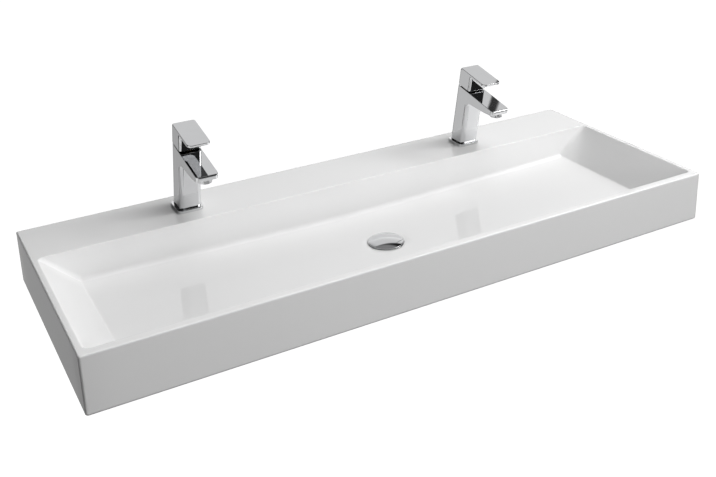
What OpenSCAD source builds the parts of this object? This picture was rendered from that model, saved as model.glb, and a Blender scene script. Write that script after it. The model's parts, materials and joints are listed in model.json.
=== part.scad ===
// Wall-hung trough basin for two people, with two leaning single-lever taps and a push-button waste.
// Millimetres. X runs along the wall, Y out of the wall (the front is at -Y), Z is up.
// The origin is in the wall plane, midway between the wall fixings.

/* [Basin] */
// Overall width along the wall
basin_w = 1200; // [1000:10:1500]
// Depth from the wall to the front
basin_d = 455; // [430:5:560]
// Height from the skirt's lower edge to the rim
basin_h = 99; // [92:1:160]
// Width of the rim at the two ends
end_rim = 11; // [8:0.5:20]
// Width of the rim along the front
front_rim = 15; // [12:0.5:25]
// Depth of the tap ledge, from the wall to the bowl
ledge_d = 126; // [118:1:160]
// Thickness of the tap ledge
ledge_t = 14; // [10:0.5:18]
// Thickness of the skirt at the ends and the front
skirt_t = 12; // [9:0.5:14]
// Thickness of the rear apron that is bolted to the wall
apron_t = 14; // [10:0.5:18]
// Thickness of the bowl's walls and floor
bowl_t = 12; // [9:0.5:14]
// Depth of the bowl below the rim at its two ends
bowl_end_depth = 59.5; // [45:0.5:62]
// Fall of the floor from each end to the waste
floor_fall = 11.5; // [6:0.5:13]
// Run of the sloping end walls, from the rim to the floor
end_run = 64; // [40:1:90]
// Corner radius of the bowl at the rim, seen from above
bowl_corner_r = 10; // [8:0.5:20]
// Radius between the bowl's walls and its floor
bowl_floor_r = 8; // [5:0.5:10]
// Radius of the upright outer corners
outer_corner_r = 4; // [2:0.5:10]
// Radius of the rim's outer edge
rim_edge_r = 2.5; // [1:0.5:4]
// Radius of the skirt's lower edge
skirt_edge_r = 5; // [1:0.5:8]

/* [Wall fixing] */
// Height of the wall fixings above the skirt's lower edge
fixing_h = 60; // [50:1:66]
// Distance between the two middle fixings
fixing_spacing = 280; // [200:10:340]
// Distance between the two outer fixings
outer_fixing_spacing = 1000; // [880:10:1040]
// Diameter of the fixing holes
fixing_hole_d = 14; // [10:0.5:18]

/* [Waste] */
// Distance from the wall to the waste
waste_from_wall = 261; // [220:1:300]
// Diameter of the hole in the floor
waste_hole_d = 46; // [44:0.5:50]
// Outside diameter of the threaded tail
tail_d = 41.91; // [40:0.01:43]
// Bore of the tail
tail_bore_d = 35; // [30:0.5:36]
// Length of the tail below its flange
tail_l = 68; // [55:1:90]
// Diameter of the flange
flange_d = 67.5; // [64:0.5:74]
// Thickness of the flange
flange_t = 2; // [2:0.25:4]
// Depth of the flange's seat below the floor
seat_depth = 2; // [1.5:0.25:4]
// Thickness of the pad under the floor at the waste
waste_pad_t = 3; // [2:0.5:8]
// Diameter of the domed cap
cap_d = 66.5; // [60:0.5:70]
// Height of the dome above the cap's rim
cap_rise = 5; // [3:0.25:8]
// Travel of the cap between closed and open
cap_travel = 9; // [6:0.5:10]
// Thickness of the seal under the flange
flange_seal_t = 1; // [0.75:0.25:1.5]
// Thickness of the rubber washer under the floor
lower_seal_t = 4; // [3:0.5:6]
// Thickness of the backnut
backnut_t = 9; // [6:0.5:14]
// Width across the flats of the backnut
backnut_af = 56; // [52:1:64]
// Outside diameter of the push mechanism
mechanism_d = 17; // [16:0.5:20]
// Diameter of the plunger
plunger_d = 12; // [11:0.25:13]
// Wire diameter of the spring
spring_wire = 1; // [0.8:0.1:1.2]
// Turns of the spring
spring_turns = 6; // [4:1:8]
// Diameter of the screw that holds the mechanism
mechanism_screw_d = 6; // [5:0.5:7]

/* [Taps] */
// Distance between the two taps
tap_spacing = 616; // [560:2:640]
// Distance from the wall to each tap
tap_from_wall = 63; // [60:1:70]
// Diameter of the tap hole in the ledge
tap_hole_d = 35; // [34:0.5:38]
// Forward lean of the column, in degrees
tap_lean = 12; // [9:0.5:14]
// Width of the column and the spout
column_w = 41; // [41:0.5:48]
// Depth of the column, front to back
column_d = 43.5; // [42:0.5:50]
// Height of the body's flat top above the ledge, along the lean
body_h = 133.4; // [126:0.2:160]
// Reach of the spout from the column's centre line
spout_reach = 107.5; // [102:0.5:140]
// Thickness of the spout at its nose
nose_t = 9.8; // [9.4:0.2:14]
// Rise of the spout's underside from the aerator to the column
under_rise = 4; // [0:0.5:5]
// Corner radius of the column, seen along it
column_r = 8; // [4:0.5:10]
// Radius of the arch where the spout springs from the column
arch_r = 8; // [5:0.5:10]
// Width of the base ring
ring_w = 48.5; // [48:0.5:60]
// Depth of the base ring
ring_d = 55.5; // [50:0.5:64]
// Height of the base ring
ring_h = 5.5; // [4:0.25:8]
// Corner radius of the base ring
ring_r = 10; // [6:0.5:14]
// Diameter of the round shank under the body
shank_d = 32; // [31:0.25:33]
// Length of the shank inside the tap hole
shank_drop = 6; // [4:0.5:9]
// Thickness of the gasket in the base ring
base_gasket_t = 1.5; // [1:0.25:2]
// Diameter of the water ways in the body
way_d = 6; // [5:0.25:6.5]
// Minor diameter of the threaded hose inlets
inlet_d = 9; // [8.5:0.1:9.5]
// Depth of the threaded hose inlets
inlet_depth = 12; // [10:0.5:13]
// Distance of each hose inlet from the middle
inlet_x = 7; // [6.5:0.25:8]

/* [Lever] */
// Height of the lever's top above the body's top
lever_h = 41; // [38:0.5:50]
// Length of the lever's plate
plate_l = 87.5; // [80:0.5:110]
// Width of the lever's plate and its block
lever_w = 42; // [41:0.5:48]
// Thickness of the lever's plate
lever_t = 4.5; // [4:0.25:6]
// Radius of the lever's heel, where its top turns down at the back
heel_top_r = 6; // [3:0.5:9]
// Corner radius of the lever's plate
lever_r = 9; // [5:0.5:12]
// Depth of the block under the plate, front to back
block_d = 42; // [41:0.5:46]
// Corner radius of the block
block_r = 6; // [4:0.5:8]
// Wall thickness of the block
block_wall = 3; // [2.5:0.25:3.5]
// Gap between the block and the body's top
block_gap = 3; // [2.5:0.25:4]
// Radius of the block's heel, which clears the body as the lever lifts
heel_r = 6.5; // [3:0.5:9]
// How far the lever lifts, in degrees
lift_angle = 20; // [12:1:20]
// Distance of the hinge pin behind the column's centre line
pivot_back = 12; // [11:0.25:12.5]
// Height of the hinge pin above the body's top
pivot_h = 9; // [8.5:0.25:10]
// Diameter of the hinge pin
pin_d = 3; // [2.5:0.25:3.5]

/* [Cartridge] */
// Bore of the cartridge chamber
chamber_d = 35; // [35:0.25:36]
// Thickness of the brass retaining nut
nut_t = 6; // [5:0.5:8]
// Thickness of the housing's lip under the nut
lip_t = 3; // [2:0.5:4]
// Thickness of the carrier's flange
carrier_flange_t = 8.5; // [6:0.5:10]
// Thickness of each ceramic disc
disc_t = 4; // [3:0.5:5]
// Thickness of the housing's floor
housing_floor_t = 3.5; // [2.5:0.5:5]
// Thickness of the seal under the housing
cartridge_seal_t = 1.5; // [1:0.25:2]
// Diameter of the spindle's ball
ball_d = 6.4; // [6:0.1:6.6]
// Depth of the ball's centre below the body's top
ball_depth = 8.5; // [8:0.25:9]
// Diameter of the spindle where the lever grips it
spindle_d = 8; // [7:0.25:8.5]

/* [Aerator] */
// Outside diameter of the aerator's ring
aerator_d = 24; // [23:0.25:25]
// Bore in the spout for the aerator's thread
aerator_bore_d = 22; // [20.5:0.25:22]
// How far the ring stands below the spout
aerator_drop = 7; // [4:0.5:9]
// Depth of the bore above the spout's underside
aerator_depth = 7; // [6:0.25:7.5]

/* [Tap fastening] */
// Diameter of the fixing stud
stud_d = 8; // [6:0.5:8]
// Length of the fixing stud
stud_l = 65; // [60:1:75]
// Distance of the stud behind the tap's centre
stud_back = 8; // [7:0.25:9]
// Outside diameter of the horseshoe washers
horseshoe_d = 48; // [44:1:56]
// Thickness of the rubber horseshoe
rubber_horseshoe_t = 3; // [2:0.5:5]
// Thickness of the steel horseshoe
steel_horseshoe_t = 2; // [1.5:0.5:3]
// Thickness of the stud's nut
stud_nut_t = 7; // [5:0.5:9]
// Width across the flats of the stud's nut
stud_nut_af = 13; // [12:0.5:15]

/* [Clearances] */
// Gap between pieces that move past each other
slip = 0.3; // [0.25:0.05:0.35]
// Radial gap of a pin or a thread in its hole
fit = 0.05; // [0.03:0.01:0.08]

/* [Hidden] */

$fn = 64;
left = -1;
right = 1;
over = 1;                   // how far a cut runs past the face that it opens
bend = 8;                   // straight steps in each rounded corner
glaze = "whitesmoke";
chrome = "silver";
brass = "goldenrod";
rubber = "dimgray";
plastic = "lightslategray";
ceramic = "ivory";

// Basin levels
skirt_z = -fixing_h;
rim_z = skirt_z + basin_h;
ledge_under_z = rim_z - ledge_t;
floor_end_z = rim_z - bowl_end_depth;
floor_z = floor_end_z - floor_fall;
bowl_back_y = -ledge_d;
bowl_front_y = front_rim - basin_d;
bowl_half_w = basin_w / 2 - end_rim;
end_slope = atan2(bowl_end_depth, end_run);
foot_x = bowl_half_w - end_run - bowl_floor_r * tan(end_slope / 2);
split_in = 1;               // how far inside the floor's flat the regions are split
floor_back_y = bowl_back_y - bowl_floor_r - split_in;
floor_front_y = bowl_front_y + bowl_floor_r + split_in;
floor_end_x = foot_x - split_in;
skirt_in = basin_w / 2 - skirt_t;

// Waste levels
seat_z = floor_z - seat_depth;
flange_under_z = seat_z + flange_seal_t;
flange_top_z = flange_under_z + flange_t;
tail_end_z = flange_under_z - tail_l;
pad_under_z = floor_z - bowl_t - waste_pad_t;
pad_margin = 5;
pad_d = flange_d + 2 * pad_margin;
seat_gap = 0.5;
backnut_z = pad_under_z - lower_seal_t - backnut_t;
groove_t = 2;
groove_depth = 1.5;
groove_z = backnut_z - 3 - groove_t;
cap_under_z = flange_top_z + 0.7;
spider_t = 5;
spider_hub_wall = 4;
guide_l = 28;
spider_top_z = flange_under_z - guide_l;
mechanism_floor_z = spider_top_z + 4;
mechanism_top_z = flange_under_z - 1;
mechanism_bore_d = plunger_d + 2 * slip;
plunger_under_z = mechanism_top_z - cap_travel - 5;
cap_rim_t = 1.2;
cap_seal_r = cap_d / 2 - 3.5;
cap_seal_wire = 1.8;
cap_boss_h = 4;

// Tap levels: body_z is measured along the leaning column, the rest straight up from the ledge
column_front = column_d / 2;
gallery_back = 7.5;
aerator_back = 17.2;
outlet_h = (body_h - nose_t) * cos(tap_lean) - spout_reach * sin(tap_lean);
spout_under_at_axis = outlet_h / cos(tap_lean);
shank_bore_d = shank_d + 4 * slip;
stud_inside = 8;
way_back = -4;
port_x = 6;
stud_under = stud_inside - stud_l - shank_drop;
horseshoe_slot = 2 * inlet_x + inlet_d + 1.2;
horseshoe_slot_end = inlet_d / 2 + way_back + 1;

// Cartridge stack, measured down from the body's top
housing_top = -nut_t;
carrier_top = 2.5;
flange_top = housing_top - lip_t - slip;
flange_bottom = flange_top - carrier_flange_t;
disc_top = flange_bottom - slip;
disc_bottom = disc_top - disc_t;
fixed_top = disc_bottom - fit;
housing_floor_top = fixed_top - disc_t;
housing_bottom = housing_floor_top - housing_floor_t;
chamber_bottom = housing_bottom - cartridge_seal_t;
housing_d = chamber_d - 0.2;
nut_thread_d = chamber_d + 1;
housing_wall = 1.8;
housing_bore_d = housing_d - 2 * housing_wall;
neck_d = housing_bore_d - 2.6;
ball_reach = pivot_h + ball_depth;
stroke = pivot_back * (cos(lift_angle) - 1) + ball_reach * sin(lift_angle);
moving_disc_d = housing_bore_d - 2 * (stroke + slip);
driver_w = 11;
driver_l = 13;
driver_top = -1;
window_front = driver_l / 2 + stroke + slip;
side_outlet = disc_bottom + disc_t / 2 + 0.5;
gallery_d = 7;

// Lever, measured from the body's top
plate_under = lever_h - lever_t;
lever_back = block_d / 2 - 1.25;
block_front = lever_back - block_d;
hub_w = 12;
hub_bottom = 5;
hub_back = 15;
hub_front = -6;
roof = 3.5;
ear_t = 3;
ear_in = hub_w / 2 + slip;
ear_r = pin_d / 2 + 2;
screw_h = 20;
screw_d = 5;
screw_l = 8;
plug_head_d = 7.5;
plug_head_t = 1;

// ---------- shared shapes ----------

// Points of one rounded corner, turning a quarter circle from angle a
function corner(cx, cy, r, a) =
    [for (i = [0:bend]) [cx + r * cos(a + 90 * i / bend), cy + r * sin(a + 90 * i / bend)]];

// Outline of a rectangle from (x0, y0) to (x1, y1), with its lower and upper corners rounded
function rounded(x0, y0, x1, y1, r_low, r_high) = concat(
    corner(x1 - r_high, y1 - r_high, r_high, 0),
    corner(x0 + r_high, y1 - r_high, r_high, 90),
    corner(x0 + r_low, y0 + r_low, r_low, 180),
    corner(x1 - r_low, y0 + r_low, r_low, 270));

module tube(outer_d, inner_d, z0, z1) {
    translate([0, 0, z0])
        difference() {
            cylinder(d = outer_d, h = z1 - z0);
            translate([0, 0, -over])
                cylinder(d = inner_d, h = z1 - z0 + 2 * over);
        }
}

module rod(d, z0, z1) {
    translate([0, 0, z0])
        cylinder(d = d, h = z1 - z0);
}

module block(x0, x1, y0, y1, z0, z1) {
    translate([x0, y0, z0])
        cube([x1 - x0, y1 - y0, z1 - z0]);
}

// A cylinder along X, centred on it, at (y, z)
module cross_rod(d, l, y, z) {
    translate([-l / 2, y, z])
        rotate([0, 90, 0])
            cylinder(d = d, h = l);
}

// Extrudes a (y, z) outline along X, w wide and centred
module side_profile(points, w) {
    rotate([90, 0, 90])
        translate([0, 0, -w / 2])
            linear_extrude(w)
                polygon(points);
}

// ---------- basin ----------

module basin_block() {
    intersection() {
        translate([0, 0, skirt_z])
            linear_extrude(basin_h)
                polygon(rounded(-basin_w / 2, -basin_d, basin_w / 2, 0, outer_corner_r, rim_edge_r));
        rotate([90, 0, 0])
            linear_extrude(basin_d)
                polygon(rounded(-basin_w / 2, skirt_z, basin_w / 2, rim_z, skirt_edge_r, rim_edge_r));
        side_profile(concat(
            corner(-rim_edge_r, rim_z - rim_edge_r, rim_edge_r, 0),
            corner(rim_edge_r - basin_d, rim_z - rim_edge_r, rim_edge_r, 90),
            corner(skirt_edge_r - basin_d, skirt_z + skirt_edge_r, skirt_edge_r, 180),
            [[0, skirt_z]]), basin_w);
    }
}

// The bowl's inside, or with a growth the outside of its walls
module bowl_form(growth) {
    r = bowl_floor_r + growth;
    top_x = bowl_half_w + growth / sin(end_slope);
    hull() {
        for (y = [bowl_back_y - bowl_floor_r, bowl_front_y + bowl_floor_r])
            for (spot = [[-foot_x, floor_end_z], [0, floor_z], [foot_x, floor_end_z]])
                translate([spot.x, y, spot.y + bowl_floor_r])
                    sphere(r = r, $fn = 32);
        translate([0, 0, rim_z])
            linear_extrude(over)
                polygon(rounded(-top_x, bowl_front_y - growth, top_x, bowl_back_y + growth,
                    bowl_corner_r + growth, bowl_corner_r + growth));
    }
}

// The casting is one piece of glazed clay. It is kept as six regions that meet face to face, so
// that each one is a simple shape. Together they are the rim and ledge, the skirt and apron under
// them, and a bowl whose walls are bowl_t thick.

// What fills the rim above the underside, and the bowl with its wall
module rim_and_bowl() {
    block(-basin_w, basin_w, -basin_d - over, over, ledge_under_z, rim_z + over);
    bowl_form(bowl_t);
}

// Tap ledge behind the bowl
module basin_ledge() {
    color(glaze)
        difference() {
            intersection() {
                basin_block();
                block(-skirt_in, skirt_in, floor_back_y, over, ledge_under_z, rim_z + over);
            }
            bowl_form(0);
            for (x = [-1, 1])
                translate([x * tap_spacing / 2, -tap_from_wall, 0])
                    rod(tap_hole_d, ledge_under_z - over, rim_z + over);
        }
}

// Apron against the wall, with its fixing holes
module apron() {
    difference() {
        intersection() {
            basin_block();
            block(-skirt_in, skirt_in, -apron_t, over, skirt_z - over, ledge_under_z);
        }
        for (x = [-outer_fixing_spacing / 2, -fixing_spacing / 2,
                  fixing_spacing / 2, outer_fixing_spacing / 2])
            translate([x, over, 0])
                rotate([90, 0, 0])
                    cylinder(d = fixing_hole_d, h = apron_t + 2 * over);
    }
}

// Apron, and the bowl's back wall, both below the ledge
module basin_back() {
    color(glaze) {
        apron();
        difference() {
            intersection() {
                bowl_form(bowl_t);
                block(-skirt_in, skirt_in, floor_back_y, bowl_back_y + 2 * bowl_t,
                    skirt_z - over, ledge_under_z);
            }
            bowl_form(0);
        }
    }
}

// Front wall, from the rim to the skirt's lower edge
module basin_front() {
    color(glaze)
        difference() {
            intersection() {
                basin_block();
                block(-skirt_in, skirt_in, -basin_d - over, floor_front_y, skirt_z - over, rim_z + over);
                union() {
                    block(-basin_w, basin_w, -basin_d - over, skirt_t - basin_d,
                        skirt_z - over, rim_z + over);
                    rim_and_bowl();
                }
            }
            bowl_form(0);
        }
}

// Skirt and rim at the two ends
module basin_sides() {
    color(glaze)
        difference() {
            basin_block();
            block(-skirt_in, skirt_in, -basin_d - over, over, skirt_z - over, rim_z + over);
            bowl_form(0);
        }
}

// Sloping ends of the bowl
module basin_slopes() {
    color(glaze)
        difference() {
            intersection() {
                basin_block();
                union() {
                    block(-skirt_in, -floor_end_x, floor_front_y, floor_back_y,
                        skirt_z - over, rim_z + over);
                    block(floor_end_x, skirt_in, floor_front_y, floor_back_y,
                        skirt_z - over, rim_z + over);
                }
                rim_and_bowl();
            }
            bowl_form(0);
        }
}

// Floor of the bowl, with the waste's seat and the pad under it
module basin_floor() {
    color(glaze)
        difference() {
            union() {
                intersection() {
                    bowl_form(bowl_t);
                    block(-floor_end_x, floor_end_x, floor_front_y, floor_back_y,
                        skirt_z - over, floor_end_z + bowl_t);
                }
                translate([0, -waste_from_wall, 0])
                    rod(pad_d, pad_under_z, floor_z - bowl_t / 2);
            }
            bowl_form(0);
            translate([0, -waste_from_wall, 0]) {
                rod(flange_d + 2 * seat_gap, seat_z, floor_z + bowl_t);
                rod(waste_hole_d, skirt_z, floor_z);
            }
        }
}

// ---------- waste ----------

module at_waste() {
    translate([0, -waste_from_wall, 0])
        children();
}

// Flange and threaded tail in one, with a three-armed spider across the bore
module waste_body() {
    color(chrome)
        at_waste() {
            difference() {
                union() {
                    rod(flange_d, flange_under_z, flange_top_z);
                    rod(tail_d, tail_end_z, flange_under_z + flange_t / 2);
                }
                rod(tail_bore_d, tail_end_z - over, flange_top_z + over);
                tube(tail_d + 2 * over, tail_d - 2 * groove_depth, groove_z, groove_z + groove_t);
            }
            difference() {
                union() {
                    rod(mechanism_screw_d + 2 * spider_hub_wall, spider_top_z - spider_t, spider_top_z);
                    for (a = [0, 120, 240])
                        rotate(a)
                            block(0, tail_bore_d / 2 + 1, -2, 2, spider_top_z - spider_t, spider_top_z);
                }
                rod(mechanism_screw_d + 2 * fit, spider_top_z - spider_t - over, spider_top_z + over);
            }
        }
}

module waste_flange_seal() {
    color(rubber)
        at_waste()
            tube(flange_d - 3, tail_d + 1, seat_z, flange_under_z);
}

module waste_lower_seal() {
    color(rubber)
        at_waste()
            tube(backnut_af + 6, tail_d + 1, pad_under_z - lower_seal_t, pad_under_z);
}

module waste_backnut() {
    color(brass)
        at_waste()
            difference() {
                translate([0, 0, backnut_z])
                    cylinder(d = backnut_af / cos(30), h = backnut_t, $fn = 6);
                rod(tail_d + 2 * fit, backnut_z - over, backnut_z + backnut_t + over);
            }
}

// Guide that the plunger runs in, screwed to the spider
module waste_mechanism() {
    color(plastic)
        at_waste()
            difference() {
                rod(mechanism_d, spider_top_z, mechanism_top_z);
                rod(mechanism_bore_d, mechanism_floor_z, mechanism_top_z + over);
                rod(mechanism_screw_d + 2 * fit, spider_top_z - over, mechanism_floor_z - 1);
            }
}

module waste_screw() {
    head_d = mechanism_screw_d + 5;
    head_t = 3;
    head_z = spider_top_z - spider_t - head_t;
    color("gray")
        at_waste()
            difference() {
                union() {
                    rod(mechanism_screw_d, head_z, mechanism_floor_z - 1.5);
                    rod(head_d, head_z, head_z + head_t);
                }
                block(-head_d, head_d, -0.6, 0.6, head_z - over, head_z + 1.2);
            }
}

// Compression spring under the plunger, a six-sided wire swept along a helix
module waste_spring() {
    coil_r = (plunger_d - spring_wire) / 2 - slip;
    low = mechanism_floor_z + spring_wire / 2;
    high = plunger_under_z - spring_wire / 2;
    steps = 16 * spring_turns;
    sides = 6;
    rings = [for (i = [0:steps]) [for (k = [0:sides - 1])
        let (a = 360 * spring_turns * i / steps,
             b = 360 * k / sides,
             r = coil_r + spring_wire / 2 * cos(b),
             z = low + (high - low) * i / steps + spring_wire / 2 * sin(b))
            [r * cos(a), r * sin(a), z]]];
    points = [for (ring = rings) each ring];
    last = steps * sides;
    faces = concat(
        [for (i = [0:steps - 1]) for (k = [0:sides - 1])
            let (n = (k + 1) % sides, p = i * sides, q = p + sides)
                each [[p + k, q + k, q + n], [p + k, q + n, p + n]]],
        [for (k = [1:sides - 2]) [0, k, k + 1]],
        [for (k = [1:sides - 2]) [last, last + k + 1, last + k]]);
    color("gray")
        at_waste()
            polyhedron(points, faces);
}

module waste_plunger() {
    color(plastic)
        at_waste()
            rod(plunger_d, plunger_under_z, cap_under_z + cap_boss_h - 1.5);
}

// Half section of the domed cap, from the axis to its rim
module cap_section() {
    cap_r = cap_d / 2;
    dome_r = (cap_r * cap_r + cap_rise * cap_rise) / (2 * cap_rise);
    top = cap_under_z + cap_rim_t;
    steps = 16;
    polygon(concat(
        [[0, cap_under_z], [cap_r, cap_under_z]],
        [for (i = [0:steps])
            let (x = cap_r * (1 - i / steps))
                [x, top + sqrt(dome_r * dome_r - x * x) - dome_r + cap_rise]]));
}

module waste_cap() {
    color(chrome)
        at_waste()
            difference() {
                union() {
                    rotate_extrude()
                        cap_section();
                    rod(plunger_d + 6, flange_top_z + slip, cap_under_z + 1);
                }
                rod(plunger_d + 2 * fit, flange_top_z, cap_under_z + cap_boss_h - 1.5);
                tube(2 * cap_seal_r + cap_seal_wire + 0.4, 2 * cap_seal_r - cap_seal_wire - 0.4,
                    cap_under_z - over, cap_under_z + cap_seal_wire - 0.4);
            }
}

module waste_cap_seal() {
    color(rubber)
        at_waste()
            translate([0, 0, cap_under_z + cap_seal_wire / 2 - 0.4])
                rotate_extrude()
                    translate([cap_seal_r, 0])
                        circle(d = cap_seal_wire, $fn = 24);
}

// ---------- taps ----------

// Frame of one tap: its origin is on the ledge, in the middle of the tap hole
module at_tap(side) {
    translate([side * tap_spacing / 2, -tap_from_wall, rim_z])
        children();
}

// Frame of the leaning column
module lean() {
    rotate([tap_lean, 0, 0])
        children();
}

// Frame of the body's flat top, which the cartridge and the lever are measured from
module at_top(side) {
    at_tap(side)
        lean()
            translate([0, 0, body_h])
                children();
}

// Height of the spout's level underside at the aerator, along the lean, at y
function under(y) = spout_under_at_axis - y * tan(tap_lean);

module spout() {
    nose_top_r = 3;
    nose_low_r = 4;
    arch_y = -column_front - arch_r;
    arch_z = under(arch_y) + under_rise - arch_r / cos(tap_lean);
    nose = -spout_reach;
    level_y = nose + aerator_back + aerator_d / 2;
    profile = concat(
        [[0, body_h], [0, arch_z], [-column_front, arch_z]],
        [for (i = [1:bend])
            let (a = (90 - tap_lean) * i / bend)
                [arch_y + arch_r * cos(a), arch_z + arch_r * sin(a)]],
        [[level_y, under(level_y)]],
        [for (i = [0:bend])
            let (a = -90 - tap_lean - (90 - tap_lean) * i / bend,
                 cy = nose + nose_low_r,
                 cz = under(cy) + nose_low_r / cos(tap_lean))
                [cy + nose_low_r * cos(a), cz + nose_low_r * sin(a)]],
        [for (i = [0:bend])
            let (a = 180 - 90 * i / bend)
                [nose + nose_top_r + nose_top_r * cos(a), body_h - nose_top_r + nose_top_r * sin(a)]]);
    intersection() {
        side_profile(profile, column_w);
        linear_extrude(body_h + over)
            polygon(rounded(-column_w / 2, nose, column_w / 2, column_front, column_r, column_r));
    }
}

module tap_body(side) {
    aerator_y = aerator_place();
    color(chrome)
        at_tap(side) {
            difference() {
                union() {
                    lean() {
                        translate([0, 0, -column_d / 2])
                            linear_extrude(body_h + column_d / 2)
                                polygon(rounded(-column_w / 2, -column_front, column_w / 2, column_front,
                                    column_r, column_r));
                        spout();
                    }
                }
                block(-column_d, column_d, -column_d, column_d, -column_d, ring_h);
                lean() {
                    rod(chamber_d, body_h + chamber_bottom, body_h + over);
                    rod(nut_thread_d + 2 * fit, body_h - nut_t, body_h + over);
                    for (x = [-port_x, port_x])
                        translate([x, way_back, 0])
                            rod(way_d, ring_h, body_h + chamber_bottom + over);
                    gallery();
                }
                translate([0, aerator_y, 0])
                    rod(aerator_bore_d, outlet_h - 2 * over, outlet_h + aerator_depth);
                shank_holes();
            }
            difference() {
                rod(shank_d, -shank_drop, ring_h);
                shank_holes();
                lean()
                    for (x = [-port_x, port_x])
                        translate([x, way_back, 0])
                            rod(way_d, inlet_depth - shank_drop - over, ring_h + 2 * over);
            }
        }
}

// Distance of the aerator from the tap hole's centre, set back from the spout's nose
function aerator_place() = -spout_reach * cos(tap_lean) - body_h * sin(tap_lean) + aerator_back;

// Slanting water way from the cartridge's side outlet to the aerator
module gallery() {
    start_y = -chamber_d / 2 + 2;
    start_z = body_h + side_outlet;
    end_y = gallery_back - spout_reach;
    end_z = body_h - 2.4 - gallery_d / 2;
    run = start_y - end_y;
    rise = end_z - start_z;
    translate([0, start_y, start_z])
        rotate([90 - atan2(rise, run), 0, 0])
            cylinder(d = gallery_d, h = sqrt(run * run + rise * rise));
}

// Threaded holes in the shank: two hose inlets and the stud
module shank_holes() {
    for (x = [-inlet_x, inlet_x])
        translate([x, way_back, 0])
            rod(inlet_d, -shank_drop - over, inlet_depth - shank_drop);
    translate([0, stud_back, 0])
        rod(stud_d + 2 * fit, -shank_drop - over, stud_inside - shank_drop + 0.5);
}

module ring_outline(inset) {
    polygon(rounded(inset - ring_w / 2, inset - ring_d / 2, ring_w / 2 - inset, ring_d / 2 - inset,
        ring_r - inset, ring_r - inset));
}

module base_ring(side) {
    color(chrome)
        at_tap(side)
            difference() {
                linear_extrude(ring_h)
                    ring_outline(0);
                translate([0, 0, -over])
                    linear_extrude(over + base_gasket_t)
                        ring_outline(3);
                rod(shank_bore_d, 0, ring_h + over);
            }
}

module base_gasket(side) {
    color(rubber)
        at_tap(side)
            difference() {
                linear_extrude(base_gasket_t)
                    ring_outline(3);
                rod(tap_hole_d + 1, -over, base_gasket_t + over);
            }
}

module cartridge_ports(z0, z1) {
    for (x = [-port_x, port_x])
        translate([x, way_back, 0])
            rod(way_d - 1, z0 - over, z1 + over);
}

module cartridge_seal(side) {
    color(rubber)
        at_top(side)
            difference() {
                rod(chamber_d - 1, chamber_bottom, housing_bottom);
                cartridge_ports(chamber_bottom, housing_bottom);
            }
}

module cartridge_housing(side) {
    color(plastic)
        at_top(side)
            difference() {
                rod(housing_d, housing_bottom, housing_top);
                rod(housing_bore_d, housing_floor_top, housing_top - lip_t);
                rod(neck_d + 2 * slip, housing_floor_top, housing_top + over);
                cartridge_ports(housing_bottom, housing_floor_top);
                translate([0, 0, side_outlet])
                    rotate([90, 0, 0])
                        cylinder(d = gallery_d, h = housing_d);
            }
}

module fixed_disc(side) {
    color(ceramic)
        at_top(side)
            difference() {
                rod(housing_bore_d - 0.4, housing_floor_top, fixed_top);
                cartridge_ports(housing_floor_top, fixed_top);
            }
}

module moving_disc(side) {
    color(ceramic)
        at_top(side)
            difference() {
                rod(moving_disc_d, disc_bottom, disc_top);
                block(-moving_disc_d * 0.38, moving_disc_d * 0.38, 0.2, 4, disc_bottom - over, disc_top + over);
            }
}

// Block that the ball pushes: it slides the moving disc forward as the lever lifts
module disc_driver(side) {
    pocket_w = ball_d + 2 * slip;
    pocket_l = ball_d + 4 * slip;
    color(plastic)
        at_top(side)
            difference() {
                block(-driver_w / 2, driver_w / 2, -driver_l / 2, driver_l / 2, disc_top, driver_top);
                block(-pocket_w / 2, pocket_w / 2, -pocket_l / 2, pocket_l / 2,
                    -ball_depth - ball_d / 2 - slip, driver_top + over);
            }
}

// Turns with the lever: a flanged neck with two ears that hold the hinge pin
module swivel_carrier(side) {
    shelf_top = 3;
    shelf_low = 0.8;
    ear_x = ear_in + ear_t;
    ear_front = pivot_back - ear_r;
    ear_back = pivot_back + 1.6;
    color(plastic)
        at_top(side)
            difference() {
                union() {
                    rod(housing_bore_d - 2 * slip, flange_bottom, flange_top);
                    rod(neck_d, flange_bottom, carrier_top);
                    block(-ear_x, ear_x, driver_l / 2 + slip, ear_back, shelf_low, shelf_top);
                    for (x = [-1, 1])
                        translate([x * (ear_in + ear_t / 2), 0, 0]) {
                            block(-ear_t / 2, ear_t / 2, ear_front, ear_back, shelf_low, pivot_h - 2);
                            cross_rod(2 * ear_r, ear_t, pivot_back, pivot_h);
                        }
                }
                block(-driver_w / 2 - slip, driver_w / 2 + slip, -window_front, driver_l / 2 + slip,
                    flange_bottom - over, carrier_top + 2 * over);
                cross_rod(pin_d + 2 * fit, 4 * ear_x, pivot_back, pivot_h);
            }
}

module hinge_pin(side) {
    color("gray")
        at_top(side)
            cross_rod(pin_d, 2 * (ear_in + ear_t), pivot_back, pivot_h);
}

module spindle(side) {
    neck = ball_d * 0.7;
    color(brass)
        at_top(side) {
            translate([0, 0, -ball_depth])
                sphere(d = ball_d);
            rod(neck, -ball_depth, 4.5);
            rod(spindle_d, 4, screw_h + 6.5);
        }
}

module cartridge_nut(side) {
    color(brass)
        at_top(side)
            difference() {
                tube(nut_thread_d, neck_d + 2 * slip, -nut_t, 0);
                for (a = [0, 60, 120])
                    rotate(a)
                        block(-nut_thread_d, nut_thread_d, -1.5, 1.5, -1.5, over);
            }
}

// Side outline of the block, with its heel rounded off
module block_profile() {
    side_profile(concat(
        corner(lever_back - heel_r, block_gap + heel_r, heel_r, -90),
        [[lever_back, plate_under + over],
         [block_front, plate_under + over],
         [block_front, block_gap]]), lever_w);
}

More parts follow.
